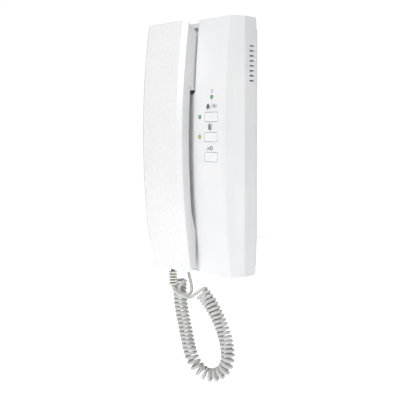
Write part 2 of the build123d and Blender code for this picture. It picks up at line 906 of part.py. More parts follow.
def parting_zone(gap, outer_depth):
    """Region between the parting line, moved to the wall by gap, and a plane at outer_depth."""
    low_z = -half_height
    step_z = ear_underside_z + ear_parting_rise
    with BuildSketch() as zone:
        with BuildLine():
            ThreePointArc(
                (-parting(low_z) + gap, low_z),
                (-parting(low_z / 2) + gap, low_z / 2),
                (-parting(step_z) + gap, step_z),
            )
            Line(
                (-parting(step_z) + gap, step_z),
                (-parting(step_z) + ear_parting_step + gap, step_z),
            )
            ThreePointArc(
                (-parting(step_z) + ear_parting_step + gap, step_z),
                (-parting(ear_z) + ear_parting_step + gap, ear_z),
                (-parting(half_height) + ear_parting_step + gap, half_height),
            )
            Polyline(
                (-parting(half_height) + ear_parting_step + gap, half_height),
                (-outer_depth, half_height),
                (-outer_depth, low_z),
                (-parting(low_z) + gap, low_z),
            )
        make_face()
    return zone.sketch


handset_left = handset_x - handset_width / 2
screw_places = [(handset_x, lower_screw_z), (handset_x, upper_screw_z)]
relief_hole_z = -handset_bottom + mouth_bottom_rise + handset_wall

with BuildPart() as shell_core:
    with BuildSketch(side_plane(handset_left + handset_wall)):
        add(handset_outline())
        offset(amount=-handset_wall, mode=Mode.REPLACE)
    extrude(amount=handset_width - 2 * handset_wall)

with BuildPart() as handset_front_shell:
    with BuildSketch(side_plane(handset_left)):
        add(handset_outline())
        add(parting_zone(0, handset_depth + overrun), mode=Mode.INTERSECT)
    extrude(amount=handset_width)
    front_face = handset_front_shell.faces().sort_by(Axis.Y)[0]
    bevel_edges = front_face.edges().filter_by(GeomType.CIRCLE)
    chamfer(bevel_edges, length=bevel_width, length2=bevel_depth, reference=front_face)
    end_edges = handset_front_shell.edges().filter_by(
        lambda e: abs(e.center().Z) > handset_bottom - tolerance
        and e.center().Y < -handset_face(handset_top) + bevel_depth + tolerance
    )
    fillet(end_edges, end_edge_radius)
    add(shell_core.part, mode=Mode.SUBTRACT)
    with BuildSketch(side_plane(handset_left + handset_wall)):
        with Locations((-parting_depth, (ear_underside_z + handle_bottom_z) / 2)):
            Rectangle(4 * handset_wall, ear_underside_z - handle_bottom_z + 2 * handset_wall)
    extrude(amount=handset_width - 2 * handset_wall, mode=Mode.SUBTRACT)
    # Bosses for the two handset screws, down to the rear shell's tongue
    boss_depth = parting(upper_screw_z) + tongue_thickness + parting_gap
    with BuildSketch(at_depth(boss_depth)):
        with Locations(*screw_places):
            Circle(handset_boss_radius)
    extrude(amount=handset_face(upper_screw_z) - handset_wall / 2 - boss_depth)
    with BuildSketch(at_depth(boss_depth)):
        with Locations(*screw_places):
            Circle(handset_screw_radius + pilot_gap)
    pilot_end_depth = handle_rear(upper_screw_z) + handset_screw_length + pilot_gap
    extrude(amount=pilot_end_depth - boss_depth, mode=Mode.SUBTRACT)
    # Hole for the strain relief
    with BuildSketch(Plane.XY.offset(-handset_bottom - overrun)):
        with Locations((handset_x, -relief_depth)):
            Circle(relief_core_radius + slip_gap)
    extrude(amount=2 * overrun, mode=Mode.SUBTRACT)
    with BuildSketch(Plane.XY.offset(relief_hole_z)):
        with Locations((handset_x, -relief_depth)):
            Circle(relief_flange_radius + slip_gap)
    extrude(amount=overrun, mode=Mode.SUBTRACT)
save(handset_front_shell.part, "handset_front_shell")

with BuildPart() as handset_rear_shell:
    with BuildSketch(side_plane(handset_left + rear_shell_inset)):
        add(handset_outline())
        add(parting_zone(parting_gap, 0), mode=Mode.INTERSECT)
    extrude(amount=handset_width - 2 * rear_shell_inset)
    with BuildSketch(side_plane(handset_left + rear_shell_inset + handset_wall)):
        add(handset_outline())
        offset(amount=-handset_wall, mode=Mode.REPLACE)
    extrude(amount=handset_width - 2 * (rear_shell_inset + handset_wall), mode=Mode.SUBTRACT)
    # Tongue along the handle, inside the front shell
    with BuildSketch(side_plane(handset_left + handset_wall + tongue_gap)):
        with BuildLine():
            for shift in (parting_gap, -tongue_thickness + parting_gap):
                ThreePointArc(
                    (-parting(handle_bottom_z) + shift, handle_bottom_z),
                    (-parting(0) + shift, 0),
                    (-parting(ear_underside_z) + shift, ear_underside_z),
                )
            for z in (handle_bottom_z, ear_underside_z):
                Line(
                    (-parting(z) + parting_gap, z),
                    (-parting(z) - tongue_thickness + parting_gap, z),
                )
        make_face()
    extrude(amount=handset_width - 2 * (handset_wall + tongue_gap))
    # Earpiece cap with its sound holes, and the mouthpiece cap with its slots
    with BuildSketch(at_depth(ear_rear_depth - ear_cap_height)):
        with Locations((handset_x, ear_z)):
            Circle(ear_cap_radius)
    extrude(amount=ear_cap_height)
    cap_edge = handset_rear_shell.faces().sort_by(Axis.Y)[-1].edges()
    chamfer(cap_edge, ear_cap_edge)
    with BuildSketch(at_depth(ear_rear_depth - ear_cap_height)):
        with Locations((handset_x, ear_z)):
            Circle(ear_hole_radius)
            with PolarLocations(ear_hole_ring, ear_hole_count):
                Circle(ear_hole_radius)
    extrude(amount=ear_cap_height + handset_wall, mode=Mode.SUBTRACT)
    with BuildSketch(at_depth(mouth_cap_depth)):
        with Locations((handset_x, mouth_z)):
            Circle(mouth_cap_radius)
    extrude(amount=mouth_rear_depth - mouth_cap_depth)
    with BuildSketch(at_depth(mouth_cap_depth)):
        with Locations((handset_x, mouth_z)):
            with GridLocations(0, mouth_slot_pitch, 1, mouth_slot_count):
                Rectangle(mouth_slot_length, mouth_slot_width)
    extrude(amount=mouth_rear_depth + handset_wall - mouth_cap_depth, mode=Mode.SUBTRACT)
    # Notch for the lip, sloped so that the handset lifts off upwards and outwards
    notch_rear = lip_rear_depth - fit_gap
    notch_front = lip_rear_depth + lip_thickness + fit_gap
    notch_top = ear_underside_z + max(handset_wall, lip_engagement) + fit_gap
    notch_run = (notch_top - ear_underside_z + overrun) * lip_notch_slope
    with BuildSketch(side_plane(lip_x - lip_width / 2 - fit_gap)):
        with BuildLine():
            Polyline(
                (-notch_front, ear_underside_z - overrun),
                (-notch_front, notch_top),
                (-notch_rear, notch_top),
                (-notch_rear + notch_run, ear_underside_z - overrun),
                close=True,
            )
        make_face()
    extrude(amount=lip_width + 2 * fit_gap, mode=Mode.SUBTRACT)
    # Holes for the two handset screws, with seats for their heads
    head_depth = handle_rear(upper_screw_z)
    with BuildSketch(at_depth(ear_rear_depth)):
        with Locations(*screw_places):
            Circle(handset_screw_head_radius + fit_gap)
    extrude(amount=head_depth + handset_screw_head_height - ear_rear_depth, mode=Mode.SUBTRACT)
    with BuildSketch(at_depth(ear_rear_depth)):
        with Locations(*screw_places):
            Circle(handset_screw_radius + fit_gap)
    extrude(amount=handset_depth - ear_rear_depth, mode=Mode.SUBTRACT)
    with BuildSketch(Plane.XY.offset(relief_hole_z)):
        with Locations((handset_x, -relief_depth)):
            Circle(relief_flange_radius + slip_gap)
    extrude(amount=overrun, mode=Mode.SUBTRACT)
save(handset_rear_shell.part, "handset_rear_shell")

with BuildPart() as handset_screws:
    with BuildSketch(at_depth(head_depth)):
        with Locations(*screw_places):
            Circle(handset_screw_head_radius)
    extrude(amount=handset_screw_head_height)
    with BuildSketch(at_depth(head_depth)):
        with Locations(*screw_places):
            Circle(handset_screw_radius)
    extrude(amount=handset_screw_length)
save(handset_screws.part, "handset_screws")

# Earpiece and microphone capsules, the microphone in its rubber boot
with BuildPart() as earpiece_capsule:
    with BuildSketch(at_depth(ear_rear_depth + handset_wall)):
        with Locations((handset_x, ear_z)):
            Circle(earpiece_radius)
    extrude(amount=earpiece_height / 2)
    with BuildSketch(at_depth(ear_rear_depth + handset_wall + earpiece_height / 2)):
        with Locations((handset_x, ear_z)):
            Circle(earpiece_radius * earpiece_magnet_share)
    extrude(amount=earpiece_height / 2)
save(earpiece_capsule.part, "earpiece_capsule")
with BuildPart() as microphone_capsule:
    with BuildSketch(at_depth(mouth_rear_depth + handset_wall)):
        with Locations((handset_x, mouth_z)):
            Circle(microphone_radius)
    extrude(amount=microphone_height)
save(microphone_capsule.part, "microphone_capsule")
with BuildPart() as microphone_boot:
    with BuildSketch(at_depth(mouth_rear_depth + handset_wall)):
        with Locations((handset_x, mouth_z)):
            Circle(microphone_radius + pilot_gap + microphone_boot_wall)
            Circle(microphone_radius + pilot_gap, mode=Mode.SUBTRACT)
    extrude(amount=microphone_height + microphone_boot_wall)
save(microphone_boot.part, "microphone_boot")

# Steel weight, flat on the tongue of the rear shell
with BuildPart() as handset_weight:
    with BuildSketch(at_depth(parting_depth + tongue_thickness)):
        with Locations((handset_x, (lower_screw_z + upper_screw_z) / 2)):
            RectangleRounded(
                weight_width,
                upper_screw_z - lower_screw_z - 2 * weight_end_gap,
                plate_corner_radius,
            )
    extrude(amount=weight_thickness)
save(handset_weight.part, "handset_weight")

# Ribbed strain relief, hung in the hole at the handset's bottom end
with BuildPart() as strain_relief:
    with BuildSketch(Plane.XY.offset(relief_end_z)):
        with Locations((handset_x, -relief_depth)):
            Circle(relief_core_radius)
    extrude(amount=relief_hole_z - relief_end_z)
    for i in range(relief_rib_count):
        with BuildSketch(Plane.XY.offset(relief_end_z + relief_tip + relief_rib_pitch * i)):
            with Locations((handset_x, -relief_depth)):
                Circle(relief_rib_radius)
        extrude(amount=relief_rib_thickness)
    with BuildSketch(Plane.XY.offset(relief_hole_z + pilot_gap)):
        with Locations((handset_x, -relief_depth)):
            Circle(relief_flange_radius)
    extrude(amount=relief_flange_thickness)
    with BuildSketch(Plane.XY.offset(relief_hole_z)):
        with Locations((handset_x, -relief_depth)):
            Circle(relief_core_radius)
    extrude(amount=relief_flange_thickness)
save(strain_relief.part, "strain_relief")

# Grommet in the housing's bottom wall, where the cord enters
with BuildPart() as cord_grommet:
    with BuildSketch(Plane.XY.offset(grommet_end_z)):
        with Locations((handset_x, -grommet_depth)):
            Circle(grommet_flange_radius)
    extrude(amount=grommet_flange_height)
    with BuildSketch(Plane.XY.offset(-half_height)):
        with Locations((handset_x, -grommet_depth)):
            Circle(grommet_neck_radius)
    extrude(amount=end_wall + pilot_gap)
    with BuildSketch(Plane.XY.offset(-half_height + end_wall + pilot_gap)):
        with Locations((handset_x, -grommet_depth)):
            Circle(grommet_flange_radius)
    extrude(amount=grommet_flange_height)
save(cord_grommet.part, "cord_grommet")

# Curly cord: the helix winds left handed round a smooth line in the loop's plane
plan_angle = math.radians(loop_plan_angle)
loop_along = Vector(math.cos(plan_angle), math.sin(plan_angle), 0)
loop_front = Vector(math.sin(plan_angle), -math.cos(plan_angle), 0)
loop_origin = Vector(loop_origin_x, loop_origin_y, 0)
with BuildLine() as coil_axis:
    Spline(*[loop_origin + loop_along * s + Vector(0, 0, z) for s, z in coil_route])
axis_edge = coil_axis.edges()[0]


def ease(share):
    """Smooth step from 0 to 1."""
    share = min(max(share, 0), 1)
    return share * share * (3 - 2 * share)


def coil_pitch(share):
    """Pitch along the coil: open on the outer limb, wide in the bend, close on the inner limb."""
    into_bend = ease((share - coil_bend_start_share) / coil_blend_share)
    out_of_bend = ease((share - coil_bend_end_share) / coil_blend_share)
    pitch = coil_open_pitch + (coil_bend_pitch - coil_open_pitch) * into_bend
    return pitch + (coil_close_pitch - coil_bend_pitch) * out_of_bend


axis_points = [axis_edge.position_at(i / coil_samples) for i in range(coil_samples + 1)]
axis_lengths = [0]
for near, far in zip(axis_points, axis_points[1:]):
    axis_lengths.append(axis_lengths[-1] + (far - near).length)
axis_turns = [0]
for near, far in zip(axis_lengths, axis_lengths[1:]):
    middle_share = (near + far) / 2 / axis_lengths[-1]
    axis_turns.append(axis_turns[-1] + (far - near) / coil_pitch(middle_share))
turn_total = coil_turns + (coil_end_angle - coil_start_angle) / 360
turn_scale = turn_total / axis_turns[-1]


def axis_parameter(turn):
    """Place along the coil's axis, from 0 to 1, where the helix has made this many turns."""
    wanted = min(max(turn / turn_scale, 0), axis_turns[-1])
    low, high = 0, coil_samples
    while high - low > 1:
        middle = (low + high) // 2
        low, high = (middle, high) if axis_turns[middle] <= wanted else (low, middle)
    part = (wanted - axis_turns[low]) / (axis_turns[high] - axis_turns[low])
    return (low + part) / coil_samples


def coil_point(turn):
    """Point of the helix after this many turns; its first turns are a little wider."""
    place = axis_parameter(turn)
    radius = coil_radius + coil_flare * (1 - ease(turn / coil_flare_turns))
    centre = axis_edge.position_at(place)
    outward = loop_front.cross(axis_edge.tangent_at(place))
    angle = math.radians(coil_start_angle) + 2 * math.pi * turn
    return centre + (outward * math.cos(angle) - loop_front * math.sin(angle)) * radius


def coil_way(turn):
    """Direction of the helix after this many turns."""
    step = coil_step_share / coil_turns
    low = max(turn - step, 0)
    high = min(turn + step, turn_total)
    return (coil_point(high) - coil_point(low)).normalized()


def arc_middle(start, apex, end):
    """Middle of the arc from start to end whose tangents meet at apex."""
    half_chord = (end - start) / 2
    rise = apex - (start + half_chord)
    half_turn = math.atan2(rise.length, half_chord.length)
    return start + half_chord + rise.normalized() * half_chord.length * math.tan(half_turn / 2)


def biarc(start, start_way, end, end_way):
    """Two arcs, as lists of three points, that leave start and reach end along the given ways."""
    chord = end - start
    lean = chord.dot(start_way + end_way)
    spread = 2 * (1 - start_way.dot(end_way))
    reach = (math.sqrt(lean * lean + spread * chord.dot(chord)) - lean) / spread
    first_apex = start + start_way * reach
    second_apex = end - end_way * reach
    joint = (first_apex + second_apex) / 2
    return [
        (start, arc_middle(start, first_apex, joint), joint),
        (joint, arc_middle(joint, second_apex, end), end),
    ]


coil_spans = 2 * coil_turns
coil_stations = [turn_total * i / coil_spans for i in range(coil_spans + 1)]
coil_points = [coil_point(turn) for turn in coil_stations]
coil_ways = [coil_way(turn) for turn in coil_stations]
coil_arcs = []
for i in range(coil_spans):
    coil_arcs += biarc(coil_points[i], coil_ways[i], coil_points[i + 1], coil_ways[i + 1])
coil_entry = coil_points[0] - coil_ways[0] * wire_diameter
coil_exit = coil_points[-1] + coil_ways[-1] * wire_diameter
with BuildLine() as coil_path:
    Line(coil_entry, coil_points[0])
    for arc in coil_arcs:
        ThreePointArc(*arc)
    Line(coil_points[-1], coil_exit)
with BuildPart() as curly_cord:
    with BuildSketch(Plane(origin=coil_entry, z_dir=coil_ways[0])):
        RegularPolygon(wire_radius, wire_sides)
    sweep(path=coil_path.wires()[0], clean=False)
save(curly_cord.part, "curly_cord")
section_share = wire_sides / 2 * math.sin(2 * math.pi / wire_sides)
coil_length = coil_path.wires()[0].length
print("coil wire length", round(coil_length, 1))
print("coil volume over section times length",
      round(curly_cord.part.volume / (section_share * wire_radius**2 * coil_length), 4))
dot_count = gap_dots_per_turn * coil_turns
coil_dots = [coil_point(turn_total * i / dot_count) for i in range(dot_count + 1)]
least_gap = min(
    (coil_dots[i] - coil_dots[j]).length
    for i in range(dot_count)
    for j in range(i + gap_dots_per_turn // 2, min(i + 2 * gap_dots_per_turn, dot_count + 1))
) - wire_diameter
print("coil least gap to itself", round(least_gap, 2))

# Tails of the cord: from the strain relief to the coil, and from the coil to the grommet
relief_end = Vector(handset_x, -relief_depth, relief_end_z)
grommet_end = Vector(handset_x, -grommet_depth, grommet_end_z)


def tail_tube(route, name):
    """Round tube along straight runs joined by arcs, each as large as its runs allow."""
    points = [Vector(*point) for point in route]
    radii = []
    for before, corner, after in zip(points, points[1:], points[2:]):
        turn = math.radians((corner - before).get_angle(after - corner))
        shorter = min((corner - before).length, (after - corner).length)
        radii.append(tail_radius_share * shorter / math.tan(turn / 2))
    print(name, "radii", [round(radius, 1) for radius in radii])
    with BuildLine() as path:
        FilletPolyline(*points, radius=radii)
    wire = path.wires()[0]
    with BuildPart() as tube:
        with BuildSketch(Plane(origin=points[0], z_dir=points[1] - points[0])):
            RegularPolygon(wire_radius, wire_sides)
        sweep(path=wire)
    share = tube.part.volume / (section_share * wire_radius**2 * wire.length)
    print(name, "length", round(wire.length, 1), "volume share", round(share, 4))
    save(tube.part, name)


handset_tail_end = coil_entry - coil_ways[0] * handset_tail_run
tail_tube([relief_end, *handset_tail_route, handset_tail_end, coil_entry], "cord_tail_handset")
base_tail_start = coil_exit + coil_ways[-1] * base_tail_run
tail_tube([coil_exit, base_tail_start, *base_tail_route, grommet_end], "cord_tail_base")
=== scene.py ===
import math

import bmesh
import bpy
import numpy as np
from mathutils import Matrix, Vector


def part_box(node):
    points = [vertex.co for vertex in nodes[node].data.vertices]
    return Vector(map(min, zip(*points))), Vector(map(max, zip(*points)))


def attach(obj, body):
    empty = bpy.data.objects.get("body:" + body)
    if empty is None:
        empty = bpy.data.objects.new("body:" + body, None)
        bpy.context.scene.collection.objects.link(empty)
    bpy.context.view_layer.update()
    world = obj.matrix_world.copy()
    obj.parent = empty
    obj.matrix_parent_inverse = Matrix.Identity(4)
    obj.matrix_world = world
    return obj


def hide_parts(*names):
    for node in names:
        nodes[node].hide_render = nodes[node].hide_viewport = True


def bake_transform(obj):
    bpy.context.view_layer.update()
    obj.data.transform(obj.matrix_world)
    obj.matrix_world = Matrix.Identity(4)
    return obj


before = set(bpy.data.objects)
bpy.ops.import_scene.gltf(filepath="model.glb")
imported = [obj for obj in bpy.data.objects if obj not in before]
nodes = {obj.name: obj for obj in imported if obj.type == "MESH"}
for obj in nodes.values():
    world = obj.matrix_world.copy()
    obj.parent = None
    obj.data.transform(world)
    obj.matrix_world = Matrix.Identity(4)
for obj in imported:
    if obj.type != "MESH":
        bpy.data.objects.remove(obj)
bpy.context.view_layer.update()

MM = 0.001

# Camera, solved for the photograph's edges: metres, radians, and its lens in millimetres
CAMERA_PLACE = Vector((0.42306, -0.43231, 0.02363))
CAMERA_AZIMUTH = math.radians(46.0)
CAMERA_TILT = math.radians(6.75)
CAMERA_ROLL = math.radians(-0.44)
CAMERA_LENS = 59.54
CAMERA_SENSOR = 36.0
CAMERA_NEAR = 0.01

# Floor, backdrop and soft boxes, in metres
FLOOR_HEIGHT = -0.42
FLOOR_SIZE = 3.0
FLOOR_GLOW = 0.64
SKY_COLOUR = "#ffffff"
WALL_STRENGTH = 0.13
BACKDROP_STRENGTH = 1.02
LIGHT_AIM = Vector((0, 0, -0.03))
# Each soft box: azimuth from the front rightwards, elevation, distance, size and power
KEY_BOX = (9, 24, 1.8, 0.8, 20.3)
SIDE_BOX = (112, -4, 1.8, 0.8, 10.6)
BACK_BOX = (215, 15, 1.8, 0.8, 12.0)
TOP_BOX = (20, 82, 1.8, 0.8, 7.5)

# Curly cord, in millimetres and degrees: the same route as the part's own
WIRE_DIAMETER = 3.1
COIL_OUTER_DIAMETER = 13.0
COIL_TURNS = 46
COIL_PITCHES = (3.88, 5.55, 3.85)
COIL_BEND_SHARES = (0.288, 0.572)
COIL_BLEND_SHARE = 0.1
COIL_FLARE = 0.67
COIL_FLARE_TURNS = 10
COIL_START_ANGLE = 295
COIL_END_ANGLE = 180
COIL_SAMPLES = 3000
# Part of a turn, before and after a point, over which the coil's direction there is taken
DIRECTION_STEP = 0.05
LOOP_ORIGIN = Vector((-23.0, -28.0, 0))
LOOP_PLAN_ANGLE = math.radians(17.95)
COIL_ROUTE = [
    (21.7, -130.8),
    (34.9, -146.1),
    (43.3, -162.7),
    (48.8, -185.8),
    (45.7, -199.5),
    (29.8, -208.6),
    (16.7, -202.0),
    (7.4, -178.3),
    (1.2, -148.4),
    (0.1, -122.2),
]
RELIEF_END = Vector((-20.25, -39.3, -124.4))
HANDSET_TAIL_ROUTE = [
    (-20.25, -39.3, -127.6),
    (-16.2, -38.9, -131.2),
    (-9.7, -36.3, -133.9),
    (-5.5, -32.5, -135.2),
]
HANDSET_TAIL_RUN = 4.5
BASE_TAIL_ROUTE = [
    (-16.7, -35.5, -125.9),
    (-17.1, -34.6, -130.1),
    (-15.6, -32.3, -133.1),
    (-13.2, -28.6, -134.8),
    (-12.9, -23.9, -134.0),
    (-14.8, -20.7, -129.7),
    (-18.2, -19.4, -122.4),
    (-20.25, -20.0, -115.5),
]
BASE_TAIL_RUN = 4.4
GROMMET_END = Vector((-20.25, -20.0, -111.2))
POINTS_PER_TURN = 16
# So many turns are on the handset's side of the cord, where it is split in two
HANDSET_TURNS = 15
TUBE_SIDES = 14
CORD_RESOLUTION = 3
CORD_SPLINE_ORDER = 3
# The die's lines run on far along the cord, so its map is drawn out by this much
LINE_STRETCH = 10

# Strain relief, in millimetres: round ribs on a core painted darker, as painted shade between the ribs
RELIEF_CORE_RADIUS = 2.0
RELIEF_RIB_RADIUS = 4.2
RELIEF_RIB_THICKNESS = 1.2
RELIEF_RIB_PITCH = 2.65
RELIEF_RIB_COUNT = 5
RELIEF_TIP = 0.9
RELIEF_RIM = 0.35
RELIEF_RIM_STEPS = 5
RELIEF_CORNER_POINTS = 4
RELIEF_SEGMENTS = 48


# Colours and materials
def linear(colour):
    """Linear RGBA of an sRGB hex colour."""
    shares = [int(colour[i : i + 2], 16) / 255 for i in (1, 3, 5)]
    return [s / 12.92 if s <= 0.04045 else ((s + 0.055) / 1.055) ** 2.4 for s in shares] + [1.0]


def node_middle(node_name):
    """Middle of a CAD node's box, in metres."""
    low, high = (Vector(corner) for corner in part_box(node_name))
    return (low + high) / 2


def add(tree, kind, inputs=None, output=0, **settings):
    """Adds a node with its settings and links, and gives one of its outputs.

    An input's value is another node's output, a hex colour or a plain value.
    """
    node = tree.nodes.new(kind)
    for key, value in settings.items():
        setattr(node, key, value)
    for key, value in (inputs or {}).items():
        if isinstance(value, bpy.types.NodeSocket):
            tree.links.new(value, node.inputs[key])
        elif isinstance(value, str):
            node.inputs[key].default_value = linear(value)
        else:
            node.inputs[key].default_value = value
    return node.outputs[output] if node.outputs else node


def new_material(name):
    """An empty node material and its tree."""
    material = bpy.data.materials.new(name)
    material.use_nodes = True
    material.node_tree.nodes.clear()
    return material, material.node_tree


def moulded(
    name, tones, roughness, grain_mm, depth_mm, ior=1.53, coat=0.0, patch_mm=38.0, wipe_mm=9.0
):
    """Moulded plastic or rubber: flow patches, specks, grain, and wipe marks in its sheen.

    The grain's width and depth and the widths of patches and wipe marks are in millimetres.
    """
    material, tree = new_material(name)
    place = add(tree, "ShaderNodeTexCoord", output="Object")
    noise = "ShaderNodeTexNoise"
    patches = add(tree, noise, {"Vector": place, "Scale": 1 / (patch_mm * MM), "Detail": 3.0})
    # Specks are two and a half times as wide as the grain
    specks = add(tree, noise, {"Vector": place, "Scale": 0.4 / (grain_mm * MM), "Detail": 2.0})
    grain = add(tree, noise, {"Vector": place, "Scale": 1 / (grain_mm * MM), "Detail": 2.0})
    # Hands and cloths wipe up and down, so these marks are about eight times longer that way
    wiped = add(tree, "ShaderNodeMapping", {"Vector": place, "Scale": (1, 1, 0.12)})
    wipes = add(tree, noise, {"Vector": wiped, "Scale": 1 / (wipe_mm * MM), "Detail": 2.0})
    flow = add(tree, "ShaderNodeMapRange", {"Value": patches, "From Min": 0.35, "From Max": 0.65})
    speck = {"Value": specks, "From Min": 0.3, "From Max": 0.8, "To Max": 0.16}
    speckle = add(tree, "ShaderNodeMapRange", speck)
    sheen = {"Value": wipes, "From Min": 0.3, "From Max": 0.7}
    sheen.update({"To Min": roughness[0], "To Max": roughness[1]})
    tone = {0: flow, 6: tones[0], 7: tones[1]}
    tone = add(tree, "ShaderNodeMix", tone, 2, data_type="RGBA")
    tone = add(tree, "ShaderNodeMix", {0: speckle, 6: tone, 7: tones[1]}, 2, data_type="RGBA")
    bump = {"Height": grain, "Strength": 0.5, "Distance": depth_mm * MM}
    surface = {
        "Base Color": tone,
        "Roughness": add(tree, "ShaderNodeMapRange", sheen),
        "Normal": add(tree, "ShaderNodeBump", bump),
        "IOR": ior,
        "Coat Weight": coat,
    }
    shader = add(tree, "ShaderNodeBsdfPrincipled", surface)
    add(tree, "ShaderNodeOutputMaterial", {"Surface": shader})
    return material


def worked_metal(name, tones, roughness, line_mm, draw=(1, 0.06, 1)):
    """Plated, drawn or rolled metal: blots of tone, and fine lines drawn out one way."""
    material, tree = new_material(name)
    place = add(tree, "ShaderNodeTexCoord", output="Object")
    drawn = add(tree, "ShaderNodeMapping", {"Vector": place, "Scale": draw})
    noise = "ShaderNodeTexNoise"
    # Blots are about 3 mm across
    blots = add(tree, noise, {"Vector": place, "Scale": 1 / (3.0 * MM), "Detail": 3.0})
    lines = add(tree, noise, {"Vector": drawn, "Scale": 1 / (line_mm * MM), "Detail": 4.0})
    cloud = add(tree, "ShaderNodeMapRange", {"Value": blots, "From Min": 0.3, "From Max": 0.7})
    tone = {0: cloud, 6: tones[0], 7: tones[1]}
    sheen = {"Value": lines, "From Min": 0.3, "From Max": 0.7}
    sheen.update({"To Min": roughness[0], "To Max": roughness[1]})
    bump = {"Height": lines, "Strength": 0.5, "Distance": 0.01 * MM}
    surface = {
        "Base Color": add(tree, "ShaderNodeMix", tone, 2, data_type="RGBA"),
        "Metallic": 1.0,
        "Roughness": add(tree, "ShaderNodeMapRange", sheen),
        "Normal": add(tree, "ShaderNodeBump", bump),
    }
    shader = add(tree, "ShaderNodeBsdfPrincipled", surface)
    add(tree, "ShaderNodeOutputMaterial", {"Surface": shader})
    return material


def lamp_lens(name, node_name, middle, rim):
    """Acrylic lamp dome: painted lighter in the middle and deeper towards the rim, as painted light and
    shade on the dome, with clear gloss over it.
    """
    material, tree = new_material(name)
    centre = node_middle(node_name)
    place = add(tree, "ShaderNodeTexCoord", output="Object")
    centred = {"Vector": place, "Location": (-centre.x, 0, -centre.z), "Scale": (1, 0, 1)}
    flat = add(tree, "ShaderNodeMapping", centred)
    away = add(tree, "ShaderNodeVectorMath", {0: flat}, "Value", operation="LENGTH")
    # The painted light of the middle turns into the painted shade of the rim between 0.5 mm and 1.7 mm
    # from the lens's middle
    edge = {"Value": away, "From Min": 0.5 * MM, "From Max": 1.7 * MM}
    ring = add(tree, "ShaderNodeMapRange", edge)
    # A faint haze in the acrylic, about 0.8 mm across
    cloud = add(tree, "ShaderNodeTexNoise", {"Vector": place, "Scale": 1 / (0.8 * MM)})
    haze = {"Value": cloud, "From Min": 0.4, "From Max": 0.9, "To Max": 0.25}
    haze = add(tree, "ShaderNodeMapRange", haze)
    sheen = {"Value": cloud, "From Min": 0.3, "From Max": 0.7, "To Min": 0.12, "To Max": 0.22}
    tone = add(tree, "ShaderNodeMix", {0: ring, 6: middle, 7: rim}, 2, data_type="RGBA")
    bump = {"Height": cloud, "Strength": 0.5, "Distance": 0.02 * MM}
    surface = {
        "Base Color": add(tree, "ShaderNodeMix", {0: haze, 6: tone, 7: rim}, 2, data_type="RGBA"),
        "Roughness": add(tree, "ShaderNodeMapRange", sheen),
        "Normal": add(tree, "ShaderNodeBump", bump),
        "IOR": 1.49,
        "Coat Weight": 0.4,
    }
    shader = add(tree, "ShaderNodeBsdfPrincipled", surface)
    add(tree, "ShaderNodeOutputMaterial", {"Surface": shader})
    return material


def board_laminate():
    """Glass epoxy board: green solder mask over a net of copper tracks, which stand proud."""
    material, tree = new_material("glass_epoxy_under_solder_mask")
    place = add(tree, "ShaderNodeTexCoord", output="Object")
    # Tracks run round islands of copper about 6 mm wide
    cells = {"Vector": place, "Scale": 1 / (6.0 * MM), "Randomness": 0.8}
    net = add(tree, "ShaderNodeTexVoronoi", cells, "Distance", feature="DISTANCE_TO_EDGE")
    edge = {"Value": net, "From Min": 0.04, "From Max": 0.07, "To Min": 1.0, "To Max": 0.0}
    track = add(tree, "ShaderNodeMapRange", edge)
    # The mask's tone drifts over about 12 mm
    cloud = add(tree, "ShaderNodeTexNoise", {"Vector": place, "Scale": 1 / (12.0 * MM)})
    sheen = {"Value": cloud, "From Min": 0.3, "From Max": 0.7, "To Min": 0.28, "To Max": 0.42}
    mask = {0: cloud, 6: "#245c36", 7: "#2f6f43"}
    mask = add(tree, "ShaderNodeMix", mask, 2, data_type="RGBA")
    tone = {0: track, 6: mask, 7: "#4c8f52"}
    bump = {"Height": track, "Strength": 0.5, "Distance": 0.05 * MM}
    surface = {
        "Base Color": add(tree, "ShaderNodeMix", tone, 2, data_type="RGBA"),
        "Roughness": add(tree, "ShaderNodeMapRange", sheen),
        "Normal": add(tree, "ShaderNodeBump", bump),
        "IOR": 1.52,
        "Coat Weight": 0.3,
    }
    shader = add(tree, "ShaderNodeBsdfPrincipled", surface)
    add(tree, "ShaderNodeOutputMaterial", {"Surface": shader})
    return material


def speaker_paper():
    """Pressed paper cone: grey fibres, and rings of corrugation round the speaker's axis."""
    material, tree = new_material("pressed_paper_cone")
    centre = node_middle("call_speaker")
    place = add(tree, "ShaderNodeTexCoord", output="Object")
    centred = {"Vector": place, "Location": (-centre.x, 0, -centre.z), "Scale": (1, 0, 1)}
    flat = add(tree, "ShaderNodeMapping", centred)
    # The corrugations are 1.6 mm apart, and a wave has twenty rings in one unit of its scale
    wave = {"Vector": flat, "Scale": 1 / (20 * 1.6 * MM), "Distortion": 0.4}
    ringed = {"wave_type": "RINGS", "rings_direction": "SPHERICAL"}
    rings = add(tree, "ShaderNodeTexWave", wave, "Fac", **ringed)
    # Fibres are a few hundredths of a millimetre thick, so they are drawn 0.5 mm wide to show
    fibres = {"Vector": place, "Scale": 1 / (0.5 * MM), "Detail": 4.0, "Roughness": 0.7}
    fibres = add(tree, "ShaderNodeTexNoise", fibres)
    tone = {0: fibres, 6: "#2a2a2b", 7: "#4a4a4b"}
    sheen = {"Value": fibres, "From Min": 0.3, "From Max": 0.7, "To Min": 0.8, "To Max": 0.95}
    bump = {"Height": rings, "Strength": 0.5, "Distance": 0.12 * MM}
    surface = {
        "Base Color": add(tree, "ShaderNodeMix", tone, 2, data_type="RGBA"),
        "Roughness": add(tree, "ShaderNodeMapRange", sheen),
        "Normal": add(tree, "ShaderNodeBump", bump),
        "IOR": 1.45,
    }
    shader = add(tree, "ShaderNodeBsdfPrincipled", surface)
    add(tree, "ShaderNodeOutputMaterial", {"Surface": shader})
    return material


